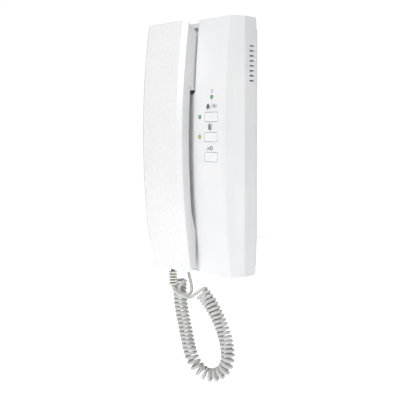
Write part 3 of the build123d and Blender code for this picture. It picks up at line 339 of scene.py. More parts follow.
def extruded_vinyl():
    """Extruded vinyl sleeve: satin, with the die's fine lines along it and faint clouds."""
    material, tree = new_material("extruded_vinyl_sleeve")
    run = add(tree, "ShaderNodeUVMap", uv_map="run")
    place = add(tree, "ShaderNodeTexCoord", output="Object")
    # The map is in millimetres. The die's lines are about 0.05 mm wide, too fine to show, so
    # 2.2 of them are drawn in each millimetre round the sleeve
    lines = add(tree, "ShaderNodeTexNoise", {"Vector": run, "Scale": 2.2, "Detail": 3.0})
    # Clouds from handling are about 9 mm across
    clouds = add(tree, "ShaderNodeTexNoise", {"Vector": place, "Scale": 1 / (9.0 * MM)})
    cloud = add(tree, "ShaderNodeMapRange", {"Value": clouds, "From Min": 0.35, "From Max": 0.65})
    line = {"Value": lines, "From Min": 0.4, "From Max": 0.8, "To Max": 0.3}
    line = add(tree, "ShaderNodeMapRange", line)
    sheen = {"Value": lines, "From Min": 0.3, "From Max": 0.7, "To Min": 0.4, "To Max": 0.55}
    tone = {0: cloud, 6: "#cbccc9", 7: "#c1c2bf"}
    tone = add(tree, "ShaderNodeMix", tone, 2, data_type="RGBA")
    tone = add(tree, "ShaderNodeMix", {0: line, 6: tone, 7: "#aaaba8"}, 2, data_type="RGBA")
    bump = {"Height": lines, "Strength": 0.5, "Distance": 0.03 * MM}
    surface = {
        "Base Color": tone,
        "Roughness": add(tree, "ShaderNodeMapRange", sheen),
        "Normal": add(tree, "ShaderNodeBump", bump),
        "IOR": 1.53,
    }
    shader = add(tree, "ShaderNodeBsdfPrincipled", surface)
    add(tree, "ShaderNodeOutputMaterial", {"Surface": shader})
    return material


def printed_ink(name, tones):
    """Pad-printed ink: so thin that the face's grain breaks it with fine pinholes."""
    material, tree = new_material(name)
    place = add(tree, "ShaderNodeTexCoord", output="Object")
    # Pinholes of about 0.05 mm are too fine to show, so they are drawn 0.3 mm wide
    pores = add(tree, "ShaderNodeTexNoise", {"Vector": place, "Scale": 1 / (0.3 * MM)})
    # The ink's tone drifts over about 2.5 mm
    cloud = add(tree, "ShaderNodeTexNoise", {"Vector": place, "Scale": 1 / (2.5 * MM)})
    hole = {"Value": pores, "From Min": 0.62, "From Max": 0.75, "To Max": 0.5}
    hole = add(tree, "ShaderNodeMapRange", hole)
    sheen = {"Value": cloud, "From Min": 0.3, "From Max": 0.7, "To Min": 0.5, "To Max": 0.65}
    tone = {0: cloud, 6: tones[0], 7: tones[1]}
    tone = add(tree, "ShaderNodeMix", tone, 2, data_type="RGBA")
    tone = {0: hole, 6: tone, 7: "#cfd2d6"}
    bump = {"Height": pores, "Strength": 0.5, "Distance": 0.01 * MM}
    surface = {
        "Base Color": add(tree, "ShaderNodeMix", tone, 2, data_type="RGBA"),
        "Roughness": add(tree, "ShaderNodeMapRange", sheen),
        "Normal": add(tree, "ShaderNodeBump", bump),
        "IOR": 1.5,
    }
    shader = add(tree, "ShaderNodeBsdfPrincipled", surface)
    add(tree, "ShaderNodeOutputMaterial", {"Surface": shader})
    return material


def paint(node_names, material):
    """Gives these CAD nodes one material."""
    for name in node_names:
        slots = nodes[name].data.materials
        slots.clear()
        slots.append(material)


# The real grain, pits, fibres and drawn lines are a few hundredths to a tenth of a millimetre
# wide, too fine to show, so each grain_mm and line_mm below is as coarse as it needs to be

# Spark-eroded ABS: an even fine grain, 0.1 mm in fact, with a soft sheen and no mirror image
housing_abs = moulded(
    "spark_eroded_abs",
    tones=("#e8e8e9", "#e4e5e6"),
    roughness=(0.34, 0.44),
    grain_mm=0.45,
    depth_mm=0.012,
)
# Plain moulded ABS: flatter and greyer than the face, with longer flow patches
back_abs = moulded(
    "plain_moulded_abs",
    tones=("#dddfe1", "#d6d8da"),
    roughness=(0.45, 0.6),
    grain_mm=0.8,
    depth_mm=0.02,
    patch_mm=60,
)
# Polished ABS: smooth, with barely a ripple, 2.5 mm wide as it really is, so edges shine evenly.
# Its polishing marks are 0.02 mm wide in fact, too fine to show, and are drawn 0.5 mm wide
handset_abs = moulded(
    "polished_abs",
    tones=("#ebebec", "#e7e7e8"),
    roughness=(0.25, 0.3),
    grain_mm=2.5,
    depth_mm=0.006,
    coat=0.1,
    patch_mm=70,
    wipe_mm=0.5,
)
# Satin ABS: finer than the face, so the buttons read as mouldings of their own
button_abs = moulded(
    "satin_abs",
    tones=("#ecedee", "#e6e7e9"),
    roughness=(0.28, 0.4),
    grain_mm=0.3,
    depth_mm=0.008,
    patch_mm=12,
)
# Glass-filled nylon: black and dry, with a mottle of fibre near the surface
switch_nylon = moulded(
    "glass_filled_nylon",
    tones=("#26262a", "#36363a"),
    roughness=(0.45, 0.65),
    grain_mm=0.4,
    depth_mm=0.03,
)
# Polyamide: the green of terminal blocks, waxy and a little uneven
terminal_nylon = moulded(
    "terminal_polyamide",
    tones=("#3d6f5a", "#345f4d"),
    roughness=(0.35, 0.5),
    grain_mm=0.6,
    depth_mm=0.02,
)
# Moulded epoxy: the chip's flat black with a gritty bloom
chip_epoxy = moulded(
    "moulded_epoxy",
    tones=("#1c1c1e", "#2c2c2e"),
    roughness=(0.6, 0.8),
    grain_mm=0.25,
    depth_mm=0.02,
)
# Soft vinyl: off-white ribs with a dull, slightly waxy skin
rib_vinyl = moulded(
    "soft_moulded_vinyl",
    tones=("#e6e4df", "#dddbd5"),
    roughness=(0.45, 0.6),
    grain_mm=0.5,
    depth_mm=0.02,
)
# Natural rubber: dark and matt, its bloom seen as paler clouds
boot_rubber = moulded(
    "moulded_rubber",
    tones=("#3a3a3c", "#4a4a4b"),
    roughness=(0.7, 0.85),
    grain_mm=0.5,
    depth_mm=0.03,
    ior=1.52,
)
# Rubber core of the strain relief: dull, and painted a dark grey, which is painted shade for the shadow
# that falls between the ribs
core_rubber_painted_shade = moulded(
    "relief_core_rubber",
    tones=("#77756f", "#65635f"),
    roughness=(0.7, 0.85),
    grain_mm=0.4,
    depth_mm=0.02,
)
# Zinc-plated steel: bluish bright with straw blots of passivation
zinc_steel = worked_metal(
    "zinc_plated_steel", tones=("#b9bdc4", "#c4c0b2"), roughness=(0.25, 0.45), line_mm=0.25
)
# Drawn aluminium: pale and soft, with draw lines down its length
can_aluminium = worked_metal(
    "drawn_aluminium", tones=("#b4b6ba", "#a5a8ad"), roughness=(0.3, 0.45), line_mm=0.2
)
# Cold-rolled steel: grey, streaked along its length by the rolls
bar_steel = worked_metal(
    "cold_rolled_steel",
    tones=("#7d8086", "#6b6e74"),
    roughness=(0.4, 0.6),
    line_mm=0.4,
    draw=(1, 1, 0.06),
)
# Extruded vinyl: satin off-white, its fine lines running with the cord
sleeve_vinyl = extruded_vinyl()
# Pad-printed ink: matt blue-grey marks, dense for calls and paler for the rest
dark_ink = printed_ink("pad_printed_ink_dark", tones=("#4a545f", "#586370"))
pale_ink = printed_ink("pad_printed_ink_pale", tones=("#8a93a0", "#969fab"))

paint(["front_cover"], housing_abs)
paint(["rear_cover", "wall_plate"], back_abs)
paint(["handset_front_shell", "handset_rear_shell"], handset_abs)
paint(["button_1", "button_2", "button_3", "hook_plunger", "lamp_spacers"], button_abs)
paint(["circuit_board"], board_laminate())
paint(["button_switches", "hook_switch", "earpiece_capsule"], switch_nylon)
paint(["switch_plunger_1", "switch_plunger_2", "switch_plunger_3"], switch_nylon)
paint(["terminal_block"], terminal_nylon)
paint(["speech_chip"], chip_epoxy)
paint(["microphone_boot"], boot_rubber)
paint(["cord_grommet"], rib_vinyl)
paint(["capacitors", "microphone_capsule"], can_aluminium)
paint(["handset_weight"], bar_steel)
paint(["terminal_screws", "board_screws"], zinc_steel)
paint(["call_speaker"], speaker_paper())
# Acrylic lenses, each with its colour in the middle, painted light, and at the rim, painted shade
LAMPS = [
    ("lamp_top", "acrylic_green_top", "#6fae77", "#467f50"),
    ("lamp_left", "acrylic_green_left", "#6fae77", "#467f50"),
    ("lamp_lower", "acrylic_yellow", "#cfbf58", "#9f8d30"),
    ("lamp_idle", "acrylic_clear", "#d3d3dc", "#b5b6c4"),
]
for lamp_name, material_name, middle, rim in LAMPS:
    paint([lamp_name], lamp_lens(material_name, lamp_name, middle, rim))


# Curly cord
def route_through(points, samples):
    """Points along the smooth cubic line through these, evenly spaced in its own parameter."""
    knots = np.array(points, float)
    steps = np.linalg.norm(np.diff(knots, axis=0), axis=1)
    at = np.concatenate([[0], np.cumsum(steps)])
    count = len(knots)
    left = np.zeros((count, count))
    right = np.zeros((count, knots.shape[1]))
    left[0, :3] = 1 / steps[0], -(1 / steps[0] + 1 / steps[1]), 1 / steps[1]
    left[-1, -3:] = 1 / steps[-2], -(1 / steps[-2] + 1 / steps[-1]), 1 / steps[-1]
    for i in range(1, count - 1):
        left[i, i - 1 : i + 2] = steps[i - 1], 2 * (steps[i - 1] + steps[i]), steps[i]
        slopes = (knots[i + 1] - knots[i]) / steps[i] - (knots[i] - knots[i - 1]) / steps[i - 1]
        right[i] = 6 * slopes
    bend = np.linalg.solve(left, right)
    where = np.linspace(0, at[-1], samples)
    part = np.clip(np.searchsorted(at, where, side="right") - 1, 0, count - 2)
    step = steps[part][:, None]
    ahead = (at[part + 1] - where)[:, None]
    behind = (where - at[part])[:, None]
    curved = (bend[part] * ahead**3 + bend[part + 1] * behind**3) / (6 * step)
    straight = (knots[part] / step - bend[part] * step / 6) * ahead
    return curved + straight + (knots[part + 1] / step - bend[part + 1] * step / 6) * behind


def ease(share):
    """Smooth step from 0 to 1."""
    share = min(max(share, 0), 1)
    return share * share * (3 - 2 * share)


def coil_pitch(share):
    """Pitch along the coil: close on both limbs, wide in the bend."""
    into_bend = ease((share - COIL_BEND_SHARES[0]) / COIL_BLEND_SHARE)
    out_of_bend = ease((share - COIL_BEND_SHARES[1]) / COIL_BLEND_SHARE)
    pitch = COIL_PITCHES[0] + (COIL_PITCHES[1] - COIL_PITCHES[0]) * into_bend
    return pitch + (COIL_PITCHES[2] - COIL_PITCHES[1]) * out_of_bend


def helix_points():
    """The curly cord's turns, worked out round the loop's line, from the handset's side."""
    along = Vector((math.cos(LOOP_PLAN_ANGLE), math.sin(LOOP_PLAN_ANGLE), 0))
    front = Vector((math.sin(LOOP_PLAN_ANGLE), -math.cos(LOOP_PLAN_ANGLE), 0))
    line = route_through(COIL_ROUTE, COIL_SAMPLES)
    lengths = np.concatenate([[0], np.cumsum(np.linalg.norm(np.diff(line, axis=0), axis=1))])
    pitches = [coil_pitch(place / lengths[-1]) for place in lengths]
    turns = np.concatenate([[0], np.cumsum(np.diff(lengths) / np.array(pitches[1:]))])
    total = COIL_TURNS + (COIL_END_ANGLE - COIL_START_ANGLE) / 360
    turns *= total / turns[-1]
    points = []
    for turn in np.linspace(0, total, round(total * POINTS_PER_TURN) + 1):
        here = np.array([np.interp(turn, turns, line[:, k]) for k in (0, 1)])
        ahead = np.array([np.interp(turn + DIRECTION_STEP, turns, line[:, k]) for k in (0, 1)])
        before = np.array([np.interp(turn - DIRECTION_STEP, turns, line[:, k]) for k in (0, 1)])
        way = ahead - before
        tangent = (along * way[0] + Vector((0, 0, way[1]))).normalized()
        centre = LOOP_ORIGIN + along * here[0] + Vector((0, 0, here[1]))
        outward = front.cross(tangent)
        angle = math.radians(COIL_START_ANGLE) + 2 * math.pi * turn
        radius = (COIL_OUTER_DIAMETER - WIRE_DIAMETER) / 2
        radius += COIL_FLARE * (1 - ease(turn / COIL_FLARE_TURNS))
        # The spline runs a little inside its control points, by this share of the radius
        radius /= math.cos(math.pi / POINTS_PER_TURN)
        points.append(centre + (outward * math.cos(angle) - front * math.sin(angle)) * radius)
    return points


def smooth_line(points):
    """Points of the smooth line that has these, in millimetres, as its control points."""
    curve = bpy.data.curves.new("cord_route", "CURVE")
    curve.dimensions = "3D"
    curve.resolution_u = CORD_RESOLUTION
    spline = curve.splines.new("NURBS")
    spline.points.add(len(points) - 1)
    for point, place in zip(spline.points, points):
        point.co = (*(Vector(place) * MM), 1)
    spline.order_u = CORD_SPLINE_ORDER
    spline.use_endpoint_u = True
    carrier = bpy.data.objects.new("cord_route", curve)
    mesh = bpy.data.meshes.new_from_object(carrier)
    line = [vertex.co.copy() for vertex in mesh.vertices]
    bpy.data.meshes.remove(mesh)
    bpy.data.objects.remove(carrier)
    bpy.data.curves.remove(curve)
    return line


def show_piece(name, mesh, material, body=None):
    """An object of this mesh in the scene, with its material, and attached to its body if one is given.
    """
    mesh.materials.clear()
    mesh.materials.append(material)
    piece = bpy.data.objects.new(name, mesh)
    bpy.context.scene.collection.objects.link(piece)
    if body:
        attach(piece, body)
    return piece


def round_sleeve(name, line, radius, normal):
    """A closed round tube along a line, its rings carried along without a twist."""
    vertices, faces, runs = [], [], [0.0]
    for i, point in enumerate(line):
        ahead = line[min(i + 1, len(line) - 1)] - line[max(i - 1, 0)]
        way = ahead.normalized()
        normal = (normal - way * normal.dot(way)).normalized()
        side = way.cross(normal)
        if i:
            runs.append(runs[-1] + (point - line[i - 1]).length / MM)
        for k in range(TUBE_SIDES):
            angle = 2 * math.pi * k / TUBE_SIDES
            vertices.append(point + (normal * math.cos(angle) + side * math.sin(angle)) * radius)
    for i in range(len(line) - 1):
        for k in range(TUBE_SIDES):
            a, b = i * TUBE_SIDES + k, i * TUBE_SIDES + (k + 1) % TUBE_SIDES
            faces.append((a, b, b + TUBE_SIDES, a + TUBE_SIDES))
    last = (len(line) - 1) * TUBE_SIDES
    faces.append(tuple(reversed(range(TUBE_SIDES))))
    faces.append(tuple(range(last, last + TUBE_SIDES)))
    mesh = bpy.data.meshes.new(name)
    mesh.from_pydata(vertices, [], faces)
    # Millimetres round the sleeve one way, and along it the other, drawn out
    layer = mesh.uv_layers.new(name="run")
    girth = 2 * math.pi * radius / MM
    for face in mesh.polygons[: (len(line) - 1) * TUBE_SIDES]:
        ring, corner = divmod(face.index, TUBE_SIDES)
        for loop, (i, k) in zip(face.loop_indices, ((0, 0), (0, 1), (1, 1), (1, 0))):
            around = (corner + k) / TUBE_SIDES * girth
            layer.data[loop].uv = (around, runs[ring + i] / LINE_STRETCH)
    mesh.shade_smooth()
    return mesh, normal


coil = helix_points()
entry_way = (coil[0] - coil[1]).normalized()
exit_way = (coil[-1] - coil[-2]).normalized()
coil_entry = coil[0] + entry_way * (WIRE_DIAMETER + HANDSET_TAIL_RUN)
coil_exit = coil[-1] + exit_way * (WIRE_DIAMETER + BASE_TAIL_RUN)
route = [RELIEF_END, *HANDSET_TAIL_ROUTE, coil_entry]
route += [*coil, coil_exit, *BASE_TAIL_ROUTE, GROMMET_END]
cord_line = smooth_line(route)
split_point = coil[HANDSET_TURNS * POINTS_PER_TURN] * MM
split = min(range(len(cord_line)), key=lambda i: (cord_line[i] - split_point).length)
wire_radius = WIRE_DIAMETER / 2 * MM
handset_line, base_line = cord_line[: split + 1], cord_line[split:]
first_normal = Vector((1, 0, 0))
handset_mesh, carried = round_sleeve("curly_cord_handset_side", handset_line, wire_radius, first_normal)
base_mesh, carried = round_sleeve("curly_cord_base_side", base_line, wire_radius, carried)
handset_cord = show_piece("curly_cord_handset_side", handset_mesh, sleeve_vinyl)
base_cord = show_piece("curly_cord_base_side", base_mesh, sleeve_vinyl, "base")
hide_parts("curly_cord", "cord_tail_base")
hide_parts("cord_tail_handset")
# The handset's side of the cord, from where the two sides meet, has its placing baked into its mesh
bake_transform(handset_cord)


# Geometry Nodes
MERGE_DISTANCE = 1e-7


def node_tree(name, sockets):
    """An empty Geometry Nodes tree, its group input and its named inputs' identifiers."""
    tree = bpy.data.node_groups.new(name, "GeometryNodeTree")
    names = {}
    for socket, kind in sockets.items():
        made = tree.interface.new_socket(socket, in_out="INPUT", socket_type="NodeSocket" + kind)
        names[socket] = made.identifier
    tree.interface.new_socket("Result", in_out="OUTPUT", socket_type="NodeSocketGeometry")
    return tree, tree.nodes.new("NodeGroupInput").outputs, names


def finished_tree(tree, instances, finish):
    """Ends a tree in real geometry with its material set."""
    whole = add(tree, "GeometryNodeRealizeInstances", {"Geometry": instances})
    finished = add(tree, "GeometryNodeSetMaterial", {"Geometry": whole, "Material": finish})
    add(tree, "NodeGroupOutput", {0: finished})


def rib_tree():
    """Round ribs in a row upwards from Lowest, a Pitch apart, each a ring with rounded edges.

    Base is the carrier's own geometry, which a modifier hands in and the ribs don't need.
    """
    floats = ("Outer radius", "Inner radius", "Thickness", "Rounding", "Pitch")
    sockets = {"Base": "Geometry", "Lowest": "Vector", "Count": "Int", "Finish": "Material"}
    sockets.update({name: "Float" for name in floats})
    tree, given, names = node_tree("relief_ribs", sockets)
    sizes = {0: given["Outer radius"], 1: given["Inner radius"]}
    width = add(tree, "ShaderNodeMath", sizes, operation="SUBTRACT")
    middle = add(tree, "ShaderNodeMath", sizes, operation="ADD")
    middle = add(tree, "ShaderNodeMath", {0: middle, 1: 0.5}, operation="MULTIPLY")
    section = {"Width": width, "Height": given["Thickness"]}
    section = add(tree, "GeometryNodeCurvePrimitiveQuadrilateral", section)
    corners = {"Curve": section, "Radius": given["Rounding"], "Limit Radius": True}
    corners["Count"] = RELIEF_CORNER_POINTS
    section = add(tree, "GeometryNodeFilletCurve", corners, mode="POLY")
    circle = {"Resolution": RELIEF_SEGMENTS, "Radius": middle}
    way = add(tree, "GeometryNodeCurvePrimitiveCircle", circle)
    way = add(tree, "GeometryNodeSetCurveNormal", {"Curve": way}, mode="Z_UP")
    rib = add(tree, "GeometryNodeCurveToMesh", {"Curve": way, "Profile Curve": section})
    step = add(tree, "ShaderNodeCombineXYZ", {"Z": given["Pitch"]})
    row = {"Count": given["Count"], "Start Location": given["Lowest"], "Offset": step}
    row = add(tree, "GeometryNodeMeshLine", row)
    ribs = add(tree, "GeometryNodeInstanceOnPoints", {"Points": row, "Instance": rib})
    finished_tree(tree, ribs, given["Finish"])
    return tree, names


def screw_tree():
    """A copy of one screw at each point, its length along Y, turned as it happened to tighten."""
    sockets = {"Places": "Geometry", "Screw": "Object", "Head size": "Float"}
    sockets.update({"Seed": "Int", "Finish": "Material"})
    tree, given, names = node_tree("driven_screws", sockets)
    screw = add(tree, "GeometryNodeObjectInfo", {"Object": given["Screw"]}, "Geometry")
    turn = {2: -math.pi, 3: math.pi, "Seed": given["Seed"]}
    turn = add(tree, "FunctionNodeRandomValue", turn, 1)
    about = add(tree, "ShaderNodeCombineXYZ", {"Y": turn})
    spread = {"Points": given["Places"], "Instance": screw, "Rotation": about}
    spread["Scale"] = given["Head size"]
    spread = add(tree, "GeometryNodeInstanceOnPoints", spread)
    finished_tree(tree, spread, given["Finish"])
    return tree, names


def tree_mesh(name, tree, names, values, places=()):
    """The plain mesh that a tree makes from these places, in millimetres, and input values."""
    points = bpy.data.meshes.new(name + "_places")
    points.from_pydata([Vector(place) * MM for place in places], [], [])
    carrier = bpy.data.objects.new(name + "_places", points)
    bpy.context.scene.collection.objects.link(carrier)
    modifier = carrier.modifiers.new(name, "NODES")
    modifier.node_group = tree
    for key, value in values.items():
        modifier[names[key]] = value
    held = bpy.context.evaluated_depsgraph_get()
    mesh = bpy.data.meshes.new_from_object(carrier.evaluated_get(held))
    mesh.name = name
    bpy.data.objects.remove(carrier)
    bpy.data.meshes.remove(points)
    work = bmesh.new()
    work.from_mesh(mesh)
    bmesh.ops.remove_doubles(work, verts=work.verts, dist=MERGE_DISTANCE)
    bmesh.ops.recalc_face_normals(work, faces=work.faces)
    work.to_mesh(mesh)
    work.free()
    return mesh


def turned_solid(name, profile, segments, axis):
    """A closed solid turned about an axis from a profile of radius and height, in millimetres."""
    work = bmesh.new()
    rings = []
    for radius, height in profile:
        ring = []
        for k in range(1 if radius == 0 else segments):
            angle = 2 * math.pi * k / segments
            flat = (radius * math.cos(angle) * MM, radius * math.sin(angle) * MM)
            spot = (*flat, height * MM) if axis == "Z" else (flat[0], height * MM, flat[1])
            ring.append(work.verts.new(spot))
        rings.append(ring)
    for low, high in zip(rings, rings[1:]):
        for k in range(segments):
            a, b = low[k % len(low)], low[(k + 1) % len(low)]
            c, d = high[(k + 1) % len(high)], high[k % len(high)]
            work.faces.new(list(dict.fromkeys((a, b, c, d))))
    bmesh.ops.recalc_face_normals(work, faces=work.faces)
    mesh = bpy.data.meshes.new(name)
    work.to_mesh(mesh)
    work.free()
    return mesh


# Strain relief
relief_low, relief_high = (corner[2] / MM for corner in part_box("strain_relief"))
rib_sizes = {
    "Lowest": (
        RELIEF_END.x * MM,
        RELIEF_END.y * MM,
        (relief_low + RELIEF_TIP + RELIEF_RIB_THICKNESS / 2) * MM,
    ),
    "Count": RELIEF_RIB_COUNT,
    "Outer radius": RELIEF_RIB_RADIUS * MM,
    # The ribs reach half way into the core, which closes their bore
    "Inner radius": RELIEF_CORE_RADIUS / 2 * MM,
    "Thickness": RELIEF_RIB_THICKNESS * MM,
    "Rounding": RELIEF_RIM * MM,
    "Pitch": RELIEF_RIB_PITCH * MM,
    "Finish": rib_vinyl,
}
rib_mesh = tree_mesh("strain_relief_ribs", *rib_tree(), rib_sizes)
rib_mesh.shade_smooth()
ribs = show_piece("strain_relief_ribs", rib_mesh, rib_vinyl, "handset")
core_bends = np.linspace(0, math.pi / 2, RELIEF_RIM_STEPS + 1)
core_inset = RELIEF_CORE_RADIUS - RELIEF_RIM
core_profile = [(0, relief_low)]
core_profile += [
    (core_inset + RELIEF_RIM * math.sin(a), relief_low + RELIEF_RIM * (1 - math.cos(a)))
    for a in core_bends
]
core_profile += [(RELIEF_CORE_RADIUS, relief_high), (0, relief_high)]
core_mesh = turned_solid("strain_relief_core", core_profile, RELIEF_SEGMENTS, "Z")
core_mesh.transform(Matrix.Translation(Vector((RELIEF_END.x, RELIEF_END.y, 0)) * MM))
core_mesh.shade_smooth()
# The core's dark grey is painted shade between the ribs
core = show_piece("strain_relief_core", core_mesh, core_rubber_painted_shade, "handset")
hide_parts("strain_relief")

# Screws, in millimetres: the head's radius and height, and the shank's radius
HANDSET_SCREW = (2.4, 1.2, 1.25)
COVER_SCREW = (2.8, 1.2, 1.45)
HANDSET_SCREW_SEED = 7
COVER_SCREW_SEED = 11
SCREW_SEGMENTS = 32
CROWN_ANGLES = (0, 20, 40, 60, 75)
CROWN_RIM_SHARE = 0.35
TIP_LENGTH = 0.8
TIP_SHARE = 0.6
CROSS_ARM_SHARE = 0.17
CROSS_REACH_SHARE = 0.74
CROSS_DEPTH_SHARE = 0.7
CROSS_FLOOR_SHARE = 0.6
# The cross that cuts the recess stands this far out of the head
OVERRUN = 1.0


def plain_object(name, mesh):
    """An object in the scene for a step of modelling."""
    item = bpy.data.objects.new(name, mesh)
    bpy.context.scene.collection.objects.link(item)
    return item


def cross_screw(name, size, length):
    """A pan-head screw along Y, its head towards +Y, with a tapered cross recess."""
    head_radius, head_height, shank_radius = size
    crown = []
    for bend in map(math.radians, CROWN_ANGLES):
        rise = CROWN_RIM_SHARE + (1 - CROWN_RIM_SHARE) * math.sin(bend)
        crown.append((head_radius * math.cos(bend), head_height * rise))
    tip = [(0, -length), (shank_radius * TIP_SHARE, -length), (shank_radius, TIP_LENGTH - length)]
    profile = [*tip, (shank_radius, 0), (head_radius, 0), *crown, (0, head_height)]
    body = plain_object(name, turned_solid(name, profile, SCREW_SEGMENTS, "Y"))
    arm, reach = head_radius * CROSS_ARM_SHARE, head_radius * CROSS_REACH_SHARE
    outline = []
    for quarter in range(4):
        quarter_turn = Matrix.Rotation(-math.pi / 2 * quarter, 2)
        outline += [quarter_turn @ Vector(c) for c in ((arm, reach), (arm, arm), (reach, arm))]
    floor, top = head_height * (1 - CROSS_DEPTH_SHARE), head_height + OVERRUN
    # The recess is narrower at its floor
    narrow = CROSS_FLOOR_SHARE * MM
    work = bmesh.new()
    low = [work.verts.new((x * narrow, floor * MM, z * narrow)) for x, z in outline]
    high = [work.verts.new((x * MM, top * MM, z * MM)) for x, z in outline]
    work.faces.new(low)
    work.faces.new(high)
    for k in range(len(outline)):
        after = (k + 1) % len(outline)
        work.faces.new((low[k], low[after], high[after], high[k]))
    bmesh.ops.recalc_face_normals(work, faces=work.faces)
    cross_mesh = bpy.data.meshes.new(name + "_cross")
    work.to_mesh(cross_mesh)
    work.free()
    cross = plain_object(name + "_cross", cross_mesh)
    cut = body.modifiers.new("cross", "BOOLEAN")
    cut.operation = "DIFFERENCE"
    cut.solver = "EXACT"
    cut.object = cross
    held = bpy.context.evaluated_depsgraph_get()
    mesh = bpy.data.meshes.new_from_object(body.evaluated_get(held))
    for item in (body, cross):
        bpy.data.objects.remove(item)
    return mesh


screws_tree, screws_names = screw_tree()


def drive_screws(node_name, body, size, columns, seed):
    """Cross-head screws in the places of a CAD node's, which they replace: one pair or two."""
    head_radius, head_height = size[:2]
    low, high = (Vector(corner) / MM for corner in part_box(node_name))
    seat = high.y - head_height
    model = plain_object(node_name + "_model", cross_screw(node_name, size, seat - low.y))
    across = ((low.x + high.x) / 2,)
    if columns == 2:
        across = (low.x + head_radius, high.x - head_radius)
    places = [(x, seat, z) for x in across for z in (low.z + head_radius, high.z - head_radius)]
    values = {"Screw": model, "Head size": 1.0, "Seed": seed, "Finish": zinc_steel}
    name = node_name + "_cross_head"
    mesh = tree_mesh(name, screws_tree, screws_names, values, places)
    bpy.data.objects.remove(model)
    piece = show_piece(name, mesh, zinc_steel, body)
    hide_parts(node_name)


drive_screws("handset_screws", "handset", HANDSET_SCREW, 1, HANDSET_SCREW_SEED)
drive_screws("cover_screws", "base", COVER_SCREW, 2, COVER_SCREW_SEED)

# Pictograms on the housing's face, in millimetres. The ink stands out a little further than it
# really does, so that it shows, and sinks into the face, so that no gap opens under it
INK_THICKNESS = 0.06
INK_SINK = 0.15
FACE_BOW = 7.12
DISC_STEPS = 20
face_low, face_high = (Vector(corner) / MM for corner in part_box("front_cover"))


def face_depth(z):
    """Y of the housing's face at this height: it bows forward between its top and bottom edges."""
    return face_low.y + FACE_BOW * (z / face_high.z) ** 2


def bar_outline(low, high):
    """Outline of an upright bar or a level one, from its low corner to its high one."""
    return [low, (high[0], low[1]), high, (low[0], high[1])]


def ring_outline(centre, outer, inner, start, stop, steps):
    """Outline of a part of a ring from start to stop, in degrees, as one closed loop."""
    bends = [math.radians(start + (stop - start) * i / steps) for i in range(steps + 1)]
    far = [(centre[0] + outer * math.cos(a), centre[1] + outer * math.sin(a)) for a in bends]
    near = [(centre[0] + inner * math.cos(a), centre[1] + inner * math.sin(a)) for a in bends]
    return far + near[::-1]


def disc_outline(centre, radius):
    """Outline of a disc."""
    bends = [2 * math.pi * i / DISC_STEPS for i in range(DISC_STEPS)]
    return [(centre[0] + radius * math.cos(a), centre[1] + radius * math.sin(a)) for a in bends]


def pictogram(name, button, outlines, ink):
    """Thin closed shapes of ink on the bowed face, placed from the middle of the button below."""
    middle = node_middle(button) / MM
    work = bmesh.new()
    for outline in outlines:
        front, back = [], []
        for across, up in outline:
            x, z = middle.x + across, middle.z + up
            depth = face_depth(z)
            front.append(work.verts.new((x * MM, (depth - INK_THICKNESS) * MM, z * MM)))
            back.append(work.verts.new((x * MM, (depth + INK_SINK) * MM, z * MM)))
        work.faces.new(front)
        work.faces.new(back[::-1])
        for k in range(len(outline)):
            after = (k + 1) % len(outline)
            work.faces.new((front[k], back[k], back[after], front[after]))
    bmesh.ops.recalc_face_normals(work, faces=work.faces)
    bmesh.ops.triangulate(work, faces=work.faces)
    mesh = bpy.data.meshes.new(name)
    work.to_mesh(mesh)
    work.free()
    return show_piece(name, mesh, ink, "base")


# Outlines run across and up from the middle of the button below each sign

# A bell, for calls: its body and its clapper
bell_body = [(-6.35, 7.2), (-1.75, 7.2), (-2.25, 8.0), (-2.45, 9.5), (-3.15, 10.7)]
bell_body += [(-4.05, 11.2), (-4.95, 10.7), (-5.65, 9.5), (-5.85, 8.0)]
bell = [bell_body, disc_outline((-4.05, 6.7), 0.65)]
pictogram("pictogram_bell", "button_1", bell, dark_ink)
# A stroke between the two marks over the upper button
stroke = [[(-1.05, 6.6), (-0.7, 6.6), (0.35, 11.6), (0.0, 11.6)]]
pictogram("pictogram_stroke", "button_1", stroke, pale_ink)
# A loudspeaker with two waves
loudspeaker = [
    [(1.45, 8.1), (2.45, 8.1), (3.75, 6.7), (3.75, 11.3), (2.45, 9.9), (1.45, 9.9)],
    ring_outline((3.45, 9.0), 1.75, 1.35, -50, 50, 10),
    ring_outline((3.45, 9.0), 2.65, 2.25, -50, 50, 12),
]
pictogram("pictogram_loudspeaker", "button_1", loudspeaker, pale_ink)
# A door that stands open in its frame: two posts, a lintel and the leaf
door = [
    bar_outline((-3.25, 6.0), (-2.75, 11.2)),
    bar_outline((-2.75, 10.7), (0.65, 11.2)),
    bar_outline((0.65, 6.0), (1.15, 11.2)),
    [(-2.45, 6.2), (-0.45, 5.3), (-0.45, 9.9), (-2.45, 10.5)],
]
pictogram("pictogram_door", "button_2", door, dark_ink)
# A key: a bow of two half rings, a shank and two teeth
key = [
    ring_outline((0.45, 7.5), 1.75, 1.0, 0, 180, 14),
    ring_outline((0.45, 7.5), 1.75, 1.0, 180, 360, 14),
    bar_outline((-4.25, 7.2), (-1.25, 7.85)),
    bar_outline((-4.05, 6.0), (-3.45, 7.2)),
    bar_outline((-2.85, 6.3), (-2.25, 7.2)),
]
pictogram("pictogram_key", "button_3", key, dark_ink)


# Camera and light
def away_from_object(azimuth, elevation):
    """Direction away from the object, its azimuth from the front rightwards, in radians."""
    level = Vector((math.sin(azimuth), -math.cos(azimuth), 0)) * math.cos(elevation)
    return level + Vector((0, 0, math.sin(elevation)))


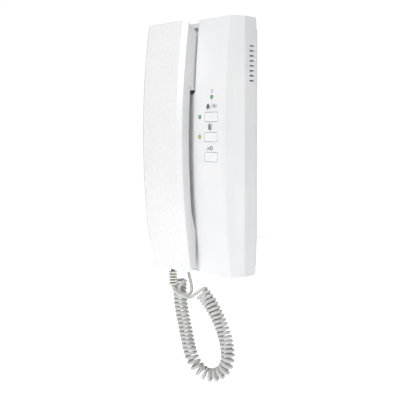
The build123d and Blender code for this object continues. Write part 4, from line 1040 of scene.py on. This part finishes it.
def place_camera():
    """The camera of the photograph."""
    camera = bpy.data.objects.new("camera", bpy.data.cameras.new("camera"))
    camera.data.lens = CAMERA_LENS
    camera.data.sensor_width = CAMERA_SENSOR
    camera.data.clip_start = CAMERA_NEAR
    bpy.context.scene.collection.objects.link(camera)
    back = away_from_object(CAMERA_AZIMUTH, CAMERA_TILT)
    right = Vector((math.cos(CAMERA_AZIMUTH), math.sin(CAMERA_AZIMUTH), 0))
    up = back.cross(right)
    cos_roll, sin_roll = math.cos(CAMERA_ROLL), math.sin(CAMERA_ROLL)
    rolled_right = right * cos_roll + up * sin_roll
    rolled_up = up * cos_roll - right * sin_roll
    turn = Matrix((rolled_right, rolled_up, back)).transposed()
    camera.matrix_world = Matrix.Translation(CAMERA_PLACE) @ turn.to_4x4()
    bpy.context.scene.camera = camera


def soft_box(name, azimuth, elevation, distance, size, power):
    """A square area light that looks at the object."""
    light = bpy.data.lights.new(name, "AREA")
    light.shape = "SQUARE"
    light.size = size
    light.energy = power
    holder = bpy.data.objects.new(name, light)
    way = away_from_object(math.radians(azimuth), math.radians(elevation))
    holder.location = way * distance + LIGHT_AIM
    holder.rotation_euler = way.to_track_quat("Z", "Y").to_euler()
    bpy.context.scene.collection.objects.link(holder)


def studio():
    """A pale lit floor, white surroundings, and soft boxes at the front, right, back and top."""
    floor_mesh = bpy.data.meshes.new("floor")
    half = FLOOR_SIZE / 2
    corners = [(-half, -half), (half, -half), (half, half), (-half, half)]
    floor_mesh.from_pydata([(x, y, FLOOR_HEIGHT) for x, y in corners], [], [(0, 1, 2, 3)])
    floor = bpy.data.objects.new("floor", floor_mesh)
    # Opal sheet lit from below: bright, quite matt, with a faint tooth
    opal = moulded(
        "opal_sheet",
        tones=("#f6f6f6", "#f4f4f4"),
        roughness=(0.9, 0.95),
        grain_mm=0.6,
        depth_mm=0.01,
    )
    opal_shader = opal.node_tree.nodes["Principled BSDF"]
    opal_shader.inputs["Emission Color"].default_value = linear(SKY_COLOUR)
    opal_shader.inputs["Emission Strength"].default_value = FLOOR_GLOW
    floor_mesh.materials.append(opal)
    bpy.context.scene.collection.objects.link(floor)
    world = bpy.data.worlds.new("studio")
    world.use_nodes = True
    tree = world.node_tree
    tree.nodes.clear()
    # The backdrop is lit more brightly than the walls that light the object
    seen = add(tree, "ShaderNodeLightPath", output="Is Camera Ray")
    power = {"Value": seen, "To Min": WALL_STRENGTH, "To Max": BACKDROP_STRENGTH}
    power = add(tree, "ShaderNodeMapRange", power)
    sky = add(tree, "ShaderNodeBackground", {"Color": SKY_COLOUR, "Strength": power})
    add(tree, "ShaderNodeOutputWorld", {"Surface": sky})
    bpy.context.scene.world = world
    soft_box("front_box", *KEY_BOX)
    soft_box("right_side_box", *SIDE_BOX)
    soft_box("back_box", *BACK_BOX)
    soft_box("top_box", *TOP_BOX)
    bpy.context.scene.view_settings.view_transform = "Standard"


place_camera()
studio()
